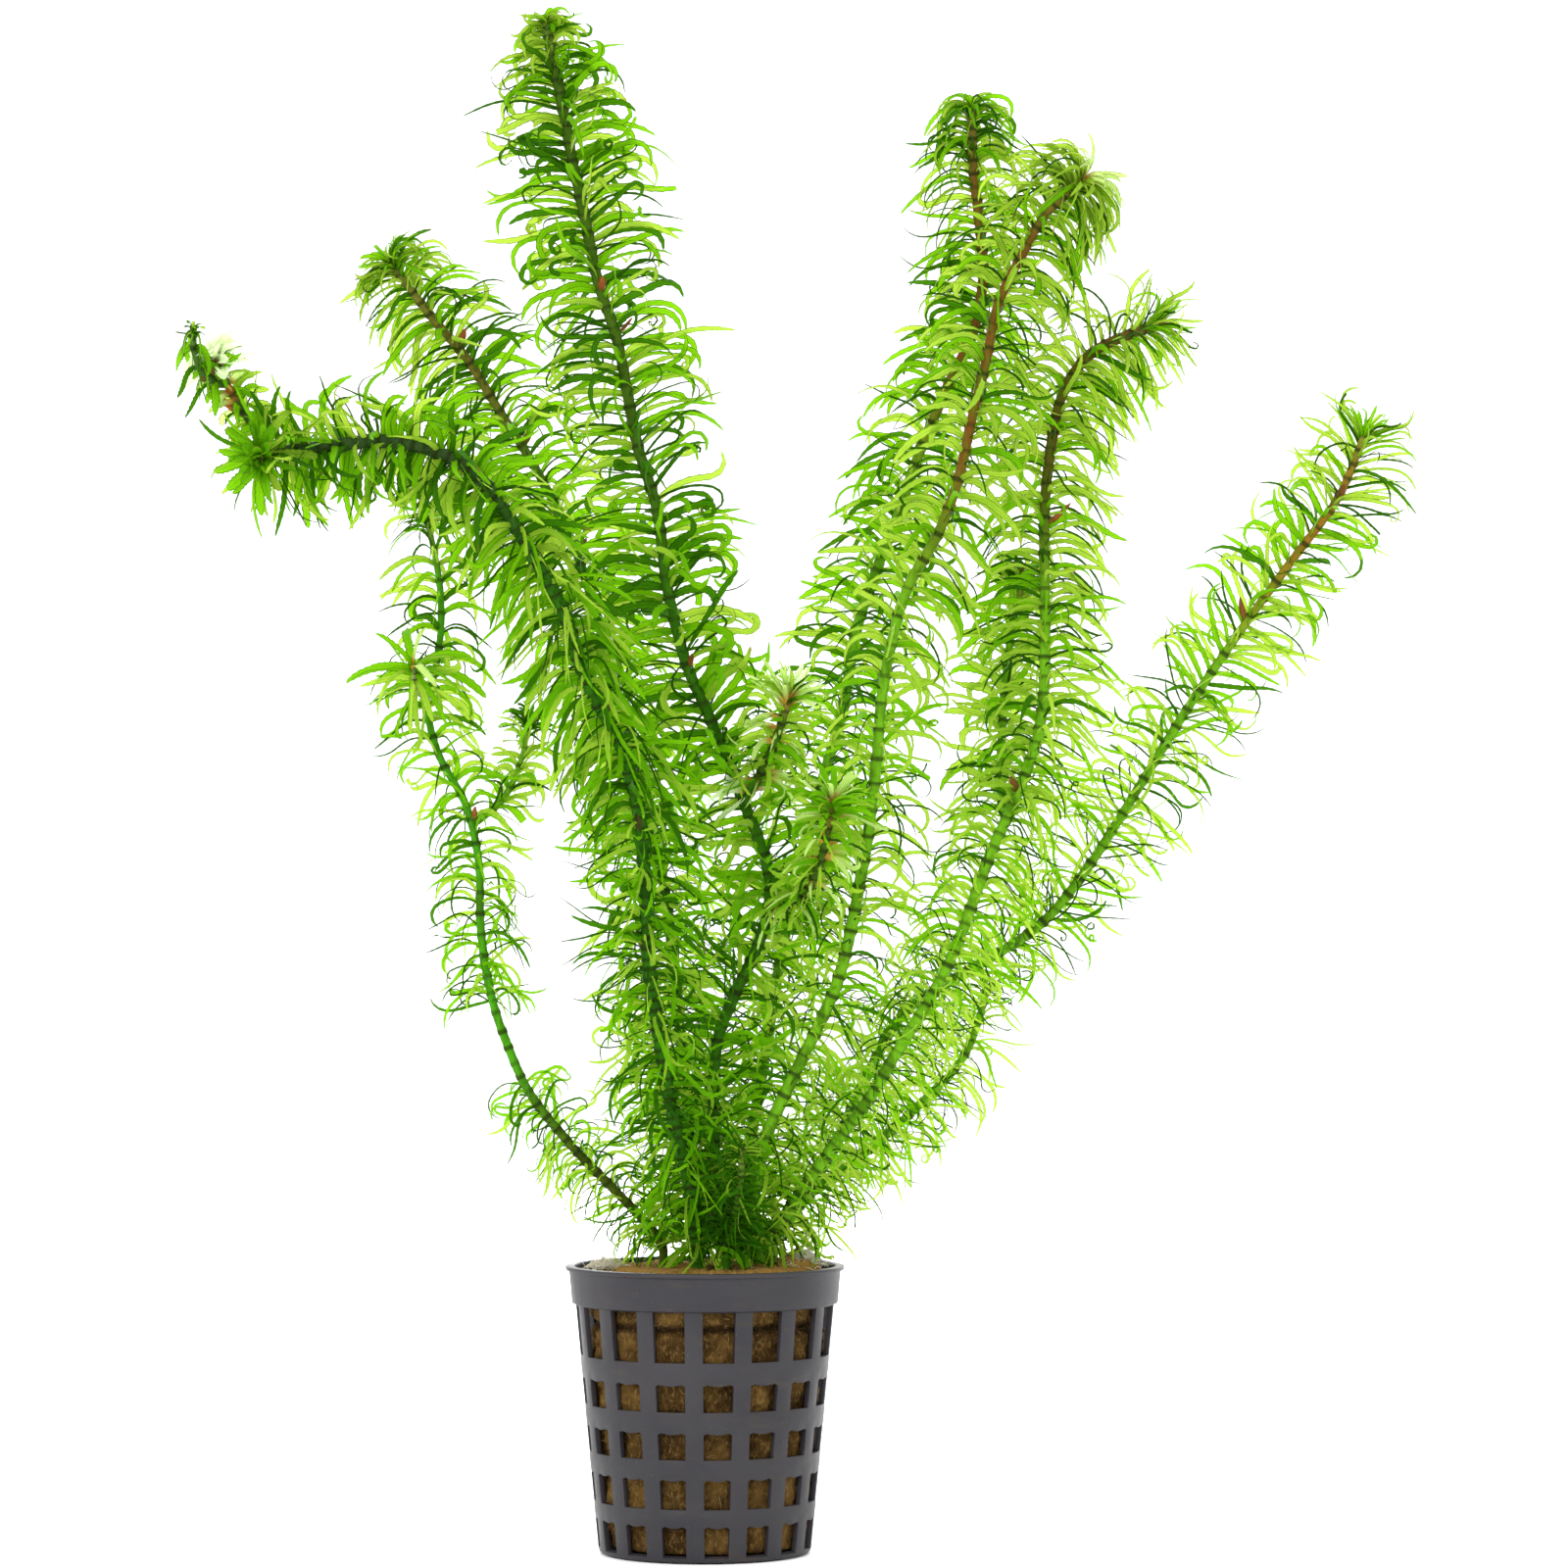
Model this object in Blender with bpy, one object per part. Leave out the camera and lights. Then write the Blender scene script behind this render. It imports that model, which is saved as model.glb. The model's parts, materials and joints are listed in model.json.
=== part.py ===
"""Potted Egeria najas: a slotted net pot, its wool plug and a bunch of leafy stems.

Metres, +Z up. The origin is the centre of the pot's underside and -Y is the front.
Routes and leaf lengths are listed in millimetres and scaled by MM where they are used.
"""

import math
from dataclasses import dataclass

import bmesh
import bpy
import numpy as np
from mathutils import Vector

MM = 0.001
CLEARANCE = 0.3 * MM  # between pieces that touch

# Net pot
POT_HEIGHT = 55.3 * MM
LIP_RADIUS = 27.0 * MM
LIP_DEPTH = 0.8 * MM
BAND_TOP_RADIUS = 26.3 * MM
BAND_EDGE_RADIUS = 25.8 * MM
BAND_BOTTOM = 48.2 * MM
BASKET_TOP = 47.8 * MM
BASKET_TOP_RADIUS = 25.0 * MM
BASKET_BOTTOM = 0.9 * MM
BASKET_BOTTOM_RADIUS = 20.6 * MM
FOOT_RADIUS = 19.9 * MM
WALL = 1.0 * MM
COLUMNS = 16
RIB_WIDTH = 3.45 * MM
FIRST_RIB_ANGLE = math.radians(-94.2)  # the rib nearest the front, seen from above
WINDOW_ROWS = [  # bottom and top of each row of windows
    (0.9 * MM, 6.9 * MM),
    (10.2 * MM, 15.9 * MM),
    (19.7 * MM, 24.8 * MM),
    (28.8 * MM, 34.05 * MM),
    (38.2 * MM, 47.8 * MM),
]
BASE_SLOT_OUTER = 17.0 * MM
BASE_SLOT_INNER = 8.0 * MM

# Wool plug
WOOL_SIDES = 16
WOOL_BOTTOM = WALL + CLEARANCE
WOOL_GAP = 1.0 * MM  # average gap to the pot's wall
WOOL_LUMP = 0.55 * MM
WOOL_CREASE_HEIGHT = 44.3 * MM
WOOL_CREASE_DEPTH = 1.3 * MM
WOOL_EDGE_HEIGHT = 53.4 * MM
WOOL_TOP = 55.0 * MM
WOOL_TOP_RADIUS = 17.6 * MM
SOCKET_FLOOR = 41.6 * MM

# Stems and leaves
STEM_FOOT = 42.0 * MM
STEM_EXIT = 56.2 * MM
WHORL_LEAVES = 4
WHORL_SPACING = 6.8 * MM
TIP_SPACING = 4.2 * MM
YOUNG_STRETCH = 20.0 * MM  # the leaves change over this length below each tip
LEAF_BASE_HEIGHT = 1.7 * MM
FORK_BARE = 4.0 * MM  # bare stem above a fork
FOOT_BARE = 1.4 * MM  # bare stem above the wool
LEAF_STEPS = 8
LEAF_GAP = 0.28 * MM
ROUTE_STEPS = 10  # points between two points of a route

DOWN = Vector((0.0, 0.0, -1.0))


@dataclass
class Shoot:
    """One stem: its route in millimetres, its thickness and the habit of its leaves."""

    route: list
    stem: float  # radius of the stem in millimetres
    leaf: float  # length of a full leaf in millimetres
    spread: float  # degrees between the stem and the foot of a leaf
    curl: float  # degrees that a leaf bends back by its tip
    droop: float  # how much a leaf hangs
    tip_leaf: float = 0.6  # length of the last leaves, as a share of a full leaf
    tip_spread: float = 28.0
    parent: str = ""
    colour: tuple = (0.10, 0.34, 0.02)


SHOOTS = {
    "shoot_tall": Shoot(
        route=[(3.2, -1.5, 58), (2, -2.5, 69.5), (2, -4, 95.5), (5.5, -5, 107), (10, -6, 116.5),
               (12.5, -7, 126), (11.5, -8, 134.5), (7, -9.5, 146), (1, -12, 161), (-3.5, -13, 171.5),
               (-7, -14, 185.5), (-9, -14, 200.5), (-13, -13, 214), (-16.5, -12, 232.5),
               (-20.5, -11, 245), (-23, -9, 257), (-26, -8, 271), (-28.5, -7, 284.5), (-31, -6, 296)],
        stem=1.1, leaf=17.5, spread=66, curl=24, droop=0.15, tip_leaf=0.75, tip_spread=40,
        colour=(0.05, 0.22, 0.01)),
    "shoot_arching": Shoot(
        route=[(-1.3, -6.2, 58), (-2.5, -9, 70), (-6, -12, 84.5), (-8.5, -15, 99.5),
               (-10.5, -18, 113.5), (-11, -21, 128.5), (-12.5, -25, 144), (-16, -28, 156),
               (-22, -32, 167.5), (-26, -36, 180), (-31.5, -39, 190), (-37, -41, 199),
               (-43, -43, 206), (-51, -44, 210), (-60, -44, 211.5), (-69, -44.5, 210.5),
               (-78, -46.5, 208.8), (-83, -50.5, 208.2)],
        stem=1.25, leaf=18.5, spread=58, curl=34, droop=0.42, tip_leaf=0.75, tip_spread=78,
        colour=(0.04, 0.17, 0.01)),
    "shoot_back_left": Shoot(
        route=[(-1.8, 3.2, 58), (-2.5, 6, 72), (-4.5, 12, 93), (-6.5, 19, 114), (-9, 25, 131.5),
               (-14, 31, 153), (-19, 35, 170.5), (-24, 39, 188.5), (-29, 41, 201.5), (-35.5, 42, 214),
               (-42.5, 42, 225), (-48, 41, 234), (-55.5, 40, 243), (-64, 38, 254)],
        stem=1.0, leaf=16, spread=58, curl=45, droop=0.3, tip_leaf=0.75, tip_spread=45),
    "shoot_low_left": Shoot(
        route=[(-8, -1.2, 58), (-11, -0.5, 63), (-18.5, -3, 71), (-26.5, -5, 79.5), (-33.5, -6, 88.5),
               (-37.5, -7, 97), (-41, -8, 107.5), (-43, -8, 120), (-43.5, -7, 133), (-46, -5, 144),
               (-51.5, -2, 154), (-54, 0, 164), (-52.5, 2, 170.5), (-51.5, 4, 179), (-52, 6, 188.5),
               (-54.5, 9, 200.5)],
        stem=0.85, leaf=11.5, spread=58, curl=55, droop=0.5, tip_leaf=0.75),
    "shoot_back_centre": Shoot(
        route=[(4.2, 6, 58), (7.5, 9, 72), (10.5, 13, 89), (13.5, 18, 108), (17.5, 23, 128.5),
               (22.5, 27, 148), (27, 30, 163.5), (29.5, 31, 178.5), (33.5, 32, 191), (38, 33, 202.5),
               (42.5, 34, 215.5), (48, 34, 228.5), (53, 33, 239), (55, 31, 249.5), (54.5, 29, 259),
               (53, 27, 272), (52.5, 26, 284)],
        stem=1.1, leaf=15.5, spread=50, curl=70, droop=0.4, tip_leaf=0.75, tip_spread=45,
        colour=(0.13, 0.40, 0.02)),
    "shoot_centre_right": Shoot(
        route=[(7.6, -4.2, 58), (10, -5, 71.5), (12.5, -6, 82), (22.5, -8, 103), (26, -9, 111.5),
               (29, -10, 124.5), (31.5, -10, 139), (33, -11, 152), (34.5, -12, 168), (38.5, -14, 184.5),
               (44.5, -15, 195.5), (48.5, -15, 206), (51.5, -13, 219), (54, -11, 229),
               (56.5, -8, 240.5), (61, -6, 250), (66, -6, 258.5), (73, -8, 264.5)],
        stem=1.15, leaf=16.5, spread=50, curl=65, droop=0.5, tip_leaf=0.95, tip_spread=56,
        colour=(0.12, 0.38, 0.02)),
    "shoot_right": Shoot(
        route=[(10.6, 0.4, 58), (15.5, -1, 65), (24, -4, 77.5), (30.5, -6, 86), (36, -8, 95),
               (44.5, -8, 109), (49, -8, 118.5), (55, -7, 134.5), (61, -5, 148), (65, -2, 160.5),
               (66, 1, 177), (66, 4, 198), (67, 6, 211.5), (69.5, 8, 224), (74, 9, 231.5),
               (80, 10, 235.5), (89.5, 12, 239)],
        stem=1.1, leaf=15.5, spread=54, curl=60, droop=0.45, tip_leaf=0.75, tip_spread=36,
        colour=(0.13, 0.40, 0.02)),
    "shoot_far_right": Shoot(
        route=[(12.4, 5.6, 58), (18, 8.5, 66), (25.5, 14, 78), (31.5, 18, 91), (39.5, 21, 104),
               (52, 23, 112), (65.5, 24, 120.5), (75, 25, 131.5), (86, 27, 148.5), (95, 28, 163),
               (106.5, 27, 180), (117.5, 25, 195), (124.5, 23, 204.5), (128, 22, 212), (130, 20, 218)],
        stem=1.05, leaf=16.5, spread=60, curl=40, droop=0.1, tip_leaf=0.75, tip_spread=38,
        colour=(0.16, 0.42, 0.03)),
    "shoot_low_right": Shoot(
        route=[(9.4, 10.8, 58), (14.5, 15, 63), (22, 19.5, 69), (31, 25, 75.5), (38.5, 30, 81.5),
               (44.5, 34, 87), (50, 37, 92.5), (53.5, 39, 99), (56.5, 41, 109)],
        stem=1.0, leaf=12, spread=54, curl=55, droop=0.5, colour=(0.15, 0.42, 0.03)),
    "shoot_short_front": Shoot(
        route=[(4.2, -9, 58), (6, -12, 65), (7, -16, 73), (7.5, -19, 79)],
        stem=0.95, leaf=11, spread=52, curl=40, droop=0.3, colour=(0.05, 0.22, 0.01)),
    "sideshoot_tall_front": Shoot(
        route=[(13.4, -8.2, 124.4), (18.5, -16, 126.5), (21.5, -22, 131.5), (23, -26, 136.5),
               (24.5, -29, 144.5)],
        stem=0.9, leaf=12, spread=56, curl=25, droop=0.1, tip_leaf=0.95, tip_spread=36,
        parent="shoot_tall", colour=(0.20, 0.30, 0.06)),
    "sideshoot_tall_upper": Shoot(
        route=[(8.3, -10.8, 145.7), (11, -17, 150.5), (13, -21, 154.5), (14.8, -23.5, 159.5),
               (16.5, -25, 165.5)],
        stem=0.9, leaf=12, spread=56, curl=25, droop=0.1, tip_leaf=0.95, tip_spread=36,
        parent="shoot_tall", colour=(0.25, 0.34, 0.10)),
    "sideshoot_arching_tip": Shoot(
        route=[(-81, -47.3, 210.1), (-84.5, -46.8, 216), (-87, -48.5, 220), (-88.8, -51, 225),
               (-89, -53, 230)],
        stem=0.85, leaf=11, spread=56, curl=30, droop=0.2, tip_leaf=0.9, tip_spread=40,
        parent="shoot_arching", colour=(0.16, 0.22, 0.03)),
    "sideshoot_arching_bud": Shoot(
        route=[(-88.7, -50.5, 221.4), (-92, -53, 223.5), (-93.4, -55, 227.5), (-93.5, -56, 231.5)],
        stem=0.75, leaf=10, spread=56, curl=45, droop=0.4, tip_leaf=0.8, tip_spread=40,
        parent="sideshoot_arching_tip", colour=(0.10, 0.25, 0.02)),
    "sideshoot_low_left_fork": Shoot(
        route=[(-43.9, -4.8, 141.1), (-40, -1, 144.5), (-37.5, 1.5, 148.5), (-35.5, 5, 154.5),
               (-34.5, 8, 161)],
        stem=0.7, leaf=9, spread=50, curl=40, droop=0.3, tip_leaf=0.7,
        parent="shoot_low_left", colour=(0.16, 0.42, 0.03)),
    "sideshoot_low_left_front": Shoot(
        route=[(-54.1, -1.2, 164.8), (-55, -9, 166.5), (-55.3, -14, 168), (-55.5, -18, 170.5)],
        stem=0.75, leaf=10, spread=58, curl=40, droop=0.4, tip_leaf=0.9, tip_spread=50,
        parent="shoot_low_left", colour=(0.18, 0.30, 0.08)),
    "sideshoot_right_back": Shoot(
        route=[(57.7, -4.0, 142.9), (57.4, 1.5, 149), (58, 9, 159.5), (59, 15, 170), (60.5, 19.5, 180),
               (63, 23, 190.5)],
        stem=0.9, leaf=13, spread=54, curl=50, droop=0.35, tip_leaf=0.6,
        parent="shoot_right", colour=(0.16, 0.42, 0.03)),
}


def material(name, colour, roughness):
    """Return a plain material with the piece's own colour."""
    made = bpy.data.materials.new(name)
    made.use_nodes = True
    shader = made.node_tree.nodes["Principled BSDF"]
    shader.inputs["Base Color"].default_value = (*colour, 1.0)
    shader.inputs["Roughness"].default_value = roughness
    shader.inputs["Metallic"].default_value = 0.0
    return made


def add_object(name, mesh_builder, surface, parent, location=Vector()):
    """Turn a bmesh into a named object under its parent, at a place in world space."""
    mesh = bpy.data.meshes.new(name)
    mesh_builder.to_mesh(mesh)
    mesh_builder.free()
    mesh.materials.append(surface)
    mesh.shade_smooth()
    mesh.set_sharp_from_angle(angle=math.radians(40))
    made = bpy.data.objects.new(name, mesh)
    bpy.context.collection.objects.link(made)
    made.parent = parent
    made.location = location - world_place(parent)
    return made


def world_place(item):
    """Add up the locations of an object and of all it hangs under; nothing here is turned."""
    place = Vector()
    while item is not None:
        place += item.location
        item = item.parent
    return place


# The net pot


def basket_radius(height):
    """Outer radius of the tapering basket wall at a height."""
    share = (height - BASKET_BOTTOM) / (BASKET_TOP - BASKET_BOTTOM)
    return BASKET_BOTTOM_RADIUS + share * (BASKET_TOP_RADIUS - BASKET_BOTTOM_RADIUS)


def rib_edges(radius):
    """Angles of both edges of every rib, which keeps its width all the way down."""
    half = math.asin(RIB_WIDTH / 2 / radius)
    angles = []
    for column in range(COLUMNS):
        middle = FIRST_RIB_ANGLE + column * math.tau / COLUMNS
        angles += [middle - half, middle + half]
    return angles


def pot_ring(shape, radius, height, pitch_radius):
    """Add one ring of corners, two for each rib."""
    ring = []
    for angle in rib_edges(pitch_radius):
        ring.append(shape.verts.new((radius * math.cos(angle), radius * math.sin(angle), height)))
    return ring


def ring_faces(shape, lower, upper, only_ribs=False):
    """Join two rings of the pot with quads, and leave the window faces out if asked."""
    count = len(lower)
    for index in range(count):
        if only_ribs and index % 2 == 1:
            continue
        after = (index + 1) % count
        shape.faces.new((lower[index], lower[after], upper[after], upper[index]))


def window_reveals(shape, outer_low, outer_top, inner_low, inner_top):
    """Close the four sides of every window of one row through the wall."""
    count = len(outer_low)
    for index in range(1, count, 2):
        after = (index + 1) % count
        outer = (outer_low[index], outer_low[after], outer_top[after], outer_top[index])
        inner = (inner_low[index], inner_low[after], inner_top[after], inner_top[index])
        for side in range(4):
            end = (side + 1) % 4
            shape.faces.new((outer[side], outer[end], inner[end], inner[side]))


def pot_base(shape, outer_ring, inner_ring):
    """Make the flat base with eight slots between an open outer ring and a middle disc."""
    slots = COLUMNS // 2
    faces = []
    for height, rim in ((0.0, outer_ring), (WALL, inner_ring)):
        circles = []
        for radius in (BASE_SLOT_OUTER, BASE_SLOT_INNER):
            circle = []
            for corner in range(COLUMNS):
                angle = FIRST_RIB_ANGLE + corner * math.tau / COLUMNS
                place = (radius * math.cos(angle), radius * math.sin(angle), height)
                circle.append(shape.verts.new(place))
            circles.append(circle)
        outer, inner = circles
        for corner in range(COLUMNS):
            after = (corner + 1) % COLUMNS
            start = 2 * corner
            on_rim = [rim[start], rim[start + 1], rim[(start + 2) % len(rim)]]
            shape.faces.new((*on_rim, outer[after], outer[corner]))
        for slot in range(slots):
            left = 2 * slot + 1
            right = (left + 1) % COLUMNS
            shape.faces.new((outer[left], outer[right], inner[right], inner[left]))
        shape.faces.new(inner)
        faces.append((outer, inner))
    (low_outer, low_inner), (top_outer, top_inner) = faces
    for slot in range(slots):
        left = 2 * slot
        right = left + 1
        low = (low_outer[left], low_outer[right], low_inner[right], low_inner[left])
        top = (top_outer[left], top_outer[right], top_inner[right], top_inner[left])
        for side in range(4):
            end = (side + 1) % 4
            shape.faces.new((low[side], low[end], top[end], top[side]))


def make_net_pot(parent):
    """The moulded basket: slotted base, five rows of windows, plain band and lip."""
    shape = bmesh.new()
    foot = pot_ring(shape, FOOT_RADIUS, 0.0, FOOT_RADIUS)
    floor_ring = pot_ring(shape, BASKET_BOTTOM_RADIUS - WALL, WALL, BASKET_BOTTOM_RADIUS)
    pot_base(shape, foot, floor_ring)

    outer_below = foot
    inner_below = floor_ring
    for bottom, top in WINDOW_ROWS:
        bottom_radius = basket_radius(bottom)
        top_radius = basket_radius(top)
        outer_low = pot_ring(shape, bottom_radius, bottom, bottom_radius)
        outer_top = pot_ring(shape, top_radius, top, top_radius)
        ring_faces(shape, outer_below, outer_low)
        ring_faces(shape, outer_low, outer_top, only_ribs=True)
        inner_top = pot_ring(shape, top_radius - WALL, top, top_radius)
        if inner_below is floor_ring:
            inner_low = floor_ring
        else:
            inner_low = pot_ring(shape, bottom_radius - WALL, bottom, bottom_radius)
            ring_faces(shape, inner_below, inner_low)
        ring_faces(shape, inner_low, inner_top, only_ribs=True)
        window_reveals(shape, outer_low, outer_top, inner_low, inner_top)
        outer_below = outer_top
        inner_below = inner_top

    lip_bottom = POT_HEIGHT - LIP_DEPTH
    profile = [
        (BAND_EDGE_RADIUS, BAND_BOTTOM),
        (BAND_TOP_RADIUS, lip_bottom),
        (LIP_RADIUS, lip_bottom + 0.1 * LIP_DEPTH),
        (LIP_RADIUS, POT_HEIGHT),
        (BAND_TOP_RADIUS - WALL, POT_HEIGHT),
    ]
    ring_below = outer_below
    for radius, height in profile:
        ring = pot_ring(shape, radius, height, BASKET_TOP_RADIUS)
        ring_faces(shape, ring_below, ring)
        ring_below = ring
    ring_faces(shape, inner_below, ring_below)

    bmesh.ops.recalc_face_normals(shape, faces=shape.faces)
    bmesh.ops.triangulate(shape, faces=shape.faces)
    surface = material("dark_grey_plastic", (0.077, 0.075, 0.085), 0.55)
    return add_object("net_pot", shape, surface, parent)


# The wool plug


def wool_radius(angle, height):
    """Radius of the plug: the inside of the wall less a gap that swells and shrinks."""
    broad = math.sin(3 * angle + 90 * height + 0.7)
    narrow = math.sin(5 * angle - 150 * height + 2.1)
    return basket_radius(height) - WALL - WOOL_GAP + WOOL_LUMP * (broad + narrow) / 2


def wool_edge_lift(angle):
    """The upper edge of the plug stands higher at the left and at the right."""
    left = max(0.0, math.cos(angle - math.radians(200)))
    right = max(0.0, math.cos(angle + math.radians(20)))
    return 2.8 * MM * left ** 3 + 3.4 * MM * right ** 8


def make_socket_cutter(parent):
    """One cutter with a square socket for every stem that stands in the wool."""
    shape = bmesh.new()
    for shoot in SHOOTS.values():
        if shoot.parent:
            continue
        x, y, _ = shoot.route[0]
        width = math.sqrt(2) * stem_corner_radius(shoot) + 2 * CLEARANCE
        height = 2 * (STEM_EXIT - SOCKET_FLOOR)
        made = bmesh.ops.create_cube(shape, size=1.0)
        for corner in made["verts"]:
            corner.co.x = x * MM + corner.co.x * width
            corner.co.y = y * MM + corner.co.y * width
            corner.co.z = SOCKET_FLOOR + (corner.co.z + 0.5) * height
    cutter = add_object("socket_cutter", shape, material("cutter", (1.0, 0.2, 0.1), 1.0), parent)
    cutter.hide_render = True
    cutter.display_type = "WIRE"
    return cutter


def make_wool_plug(parent):
    """A lumpy plug with a crease below its top layer and a socket for each stem."""
    shape = bmesh.new()
    heights = [4 * MM, 14 * MM, 24 * MM, 34 * MM, 43.2 * MM, WOOL_CREASE_HEIGHT, 45.4 * MM,
               WOOL_EDGE_HEIGHT]
    bottom = []
    rings = [[] for _ in heights]
    top = []
    for side in range(WOOL_SIDES):
        angle = side * math.tau / WOOL_SIDES
        across = Vector((math.cos(angle), math.sin(angle), 0.0))
        foot_radius = wool_radius(angle, WOOL_BOTTOM) - 1.2 * MM
        bottom.append(shape.verts.new(across * foot_radius + Vector((0.0, 0.0, WOOL_BOTTOM))))
        for ring, height in zip(rings, heights):
            radius = wool_radius(angle, min(height, BASKET_TOP))
            if height == WOOL_CREASE_HEIGHT:
                radius -= WOOL_CREASE_DEPTH
            lift = wool_edge_lift(angle) if height == WOOL_EDGE_HEIGHT else 0.0
            ring.append(shape.verts.new(across * radius + Vector((0.0, 0.0, height + lift))))
        top.append(shape.verts.new(across * WOOL_TOP_RADIUS + Vector((0.0, 0.0, WOOL_TOP))))
    shape.faces.new(bottom)
    shape.faces.new(top)
    layers = [bottom, *rings, top]
    for lower, upper in zip(layers, layers[1:]):
        for side in range(WOOL_SIDES):
            after = (side + 1) % WOOL_SIDES
            shape.faces.new((lower[side], lower[after], upper[after], upper[side]))
    bmesh.ops.recalc_face_normals(shape, faces=shape.faces)
    plug = add_object("wool_plug", shape, material("mineral_wool", (0.16, 0.09, 0.03), 0.95), parent)
    cut = plug.modifiers.new("stem sockets", "BOOLEAN")
    cut.operation = "DIFFERENCE"
    cut.object = make_socket_cutter(parent)
    return plug


# The shoots


def stem_corner_radius(shoot):
    """A square stem with its corners here has the same section as the round one."""
    return 1.25 * shoot.stem * MM


def smooth_route(shoot):
    """Points of a smooth curve through the route, in metres."""
    points = [Vector(point) * MM for point in shoot.route]
    before = points[0] * 2 - points[1]
    if not shoot.parent:
        before = points[0] + DOWN * (points[1] - points[0]).length
    beyond = points[-1] * 2 - points[-2]
    padded = [before, *points, beyond]
    curve = []
    for index in range(1, len(padded) - 2):
        a, b, c, d = padded[index - 1:index + 3]
        for step in range(ROUTE_STEPS):
            t = step / ROUTE_STEPS
            curve.append(0.5 * (2 * b + (c - a) * t + (2 * a - 5 * b + 4 * c - d) * t ** 2
                                + (3 * b - a - 3 * c + d) * t ** 3))
    curve.append(points[-1])
    return curve


@dataclass
class Whorl:
    """A place on the stem with its directions and its distance to the tip."""

    centre: Vector
    along: Vector
    side: Vector
    to_tip: float


def walk_route(curve, stops, length):
    """Return a whorl at each stop; the side direction turns as little as the curve allows."""
    along = (curve[1] - curve[0]).normalized()
    side = (Vector((1.0, 0.0, 0.0)) - along * along.x).normalized()
    whorls = []
    walked = 0.0
    waiting = list(stops)
    for start, end in zip(curve, curve[1:]):
        reach = (end - start).length
        along = (end - start).normalized()
        side = (side - along * side.dot(along)).normalized()
        while waiting and waiting[0] <= walked + reach:
            place = start.lerp(end, (waiting[0] - walked) / reach)
            whorls.append(Whorl(place, along, side, length - waiting[0]))
            waiting.pop(0)
        walked += reach
    return whorls


def whorl_stops(length, first):
    """Distances of the whorls from the foot: even, then closer over the young stretch."""
    stops = []
    place = length - 0.55 * TIP_SPACING
    while place > first:
        stops.append(place)
        youth = max(0.0, 1.0 - (length - place) / YOUNG_STRETCH)
        place -= WHORL_SPACING + (TIP_SPACING - WHORL_SPACING) * youth
    return stops[::-1]


def leaf_tip(foot, along, outward, length, spread, curl, droop):
    """Follow a leaf from its foot: it leaves the stem at an angle, bends back and hangs."""
    place = foot.copy()
    for step in range(LEAF_STEPS):
        t = (step + 0.5) / LEAF_STEPS
        angle = math.radians(spread + curl * t)
        direction = along * math.cos(angle) + outward * math.sin(angle) + DOWN * (2 * droop * t)
        place += direction.normalized() * (length / LEAF_STEPS)
    return place


class Room:
    """The tapered rods placed so far, to keep leaves out of each other and of the stems."""

    def __init__(self):
        self.starts = np.zeros((0, 3))
        self.ends = np.zeros((0, 3))
        self.radii = np.zeros(0)
        self.owners = []

    def add(self, start, end, radius, owner):
        self.starts = np.vstack([self.starts, np.array(start)])
        self.ends = np.vstack([self.ends, np.array(end)])
        self.radii = np.append(self.radii, radius)
        self.owners.append(owner)

    def is_clear(self, start, end, radius, ignored):
        """True if a rod keeps the gap to all others, apart from those with ignored owners."""
        p = np.array(start)
        q = np.array(end)
        middles = (self.starts + self.ends) / 2
        halves = np.linalg.norm(self.ends - self.starts, axis=1) / 2
        reach = halves + np.linalg.norm(q - p) / 2 + self.radii + radius + LEAF_GAP
        near = np.flatnonzero(np.linalg.norm(middles - (p + q) / 2, axis=1) < reach)
        near = [index for index in near if self.owners[index] not in ignored]
        if not near:
            return True
        gaps = segment_distances(p, q, self.starts[near], self.ends[near])
        return bool(np.all(gaps > self.radii[near] + radius + LEAF_GAP))


def segment_distances(p, q, starts, ends):
    """Shortest distances between one segment and many."""
    d1 = q - p
    d2 = ends - starts
    r = p - starts
    a = d1 @ d1
    e = np.einsum("ij,ij->i", d2, d2)
    b = d2 @ d1
    c = r @ d1
    f = np.einsum("ij,ij->i", d2, r)
    spread = np.maximum(a * e - b * b, 1e-18)
    s = np.clip((b * f - c * e) / spread, 0.0, 1.0)
    t = np.clip((b * s + f) / e, 0.0, 1.0)
    s = np.clip((b * t - c) / a, 0.0, 1.0)
    between = (p + np.outer(s, d1)) - (starts + d2 * t[:, None])
    return np.linalg.norm(between, axis=1)


def leaf_rods(foot, tip, radius):
    """Three straight pieces of a tapering leaf, each with the radius of its thicker end."""
    marks = (0.0, 0.3, 0.62, 1.0)
    for low, high in zip(marks, marks[1:]):
        yield foot.lerp(tip, low), foot.lerp(tip, high), radius * (1.0 - low)


# Ways to move a leaf that would run into another: turn in degrees, share of droop, share of length
LEAF_CHOICES = [(0, 1, 1), (10, 1, 1), (-10, 1, 1), (0, 0.4, 1), (18, 0.6, 0.9), (-14, 0.6, 0.9),
                (0, 1, 0.75), (14, 0.5, 0.75), (-12, 0.5, 0.75)]


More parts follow.
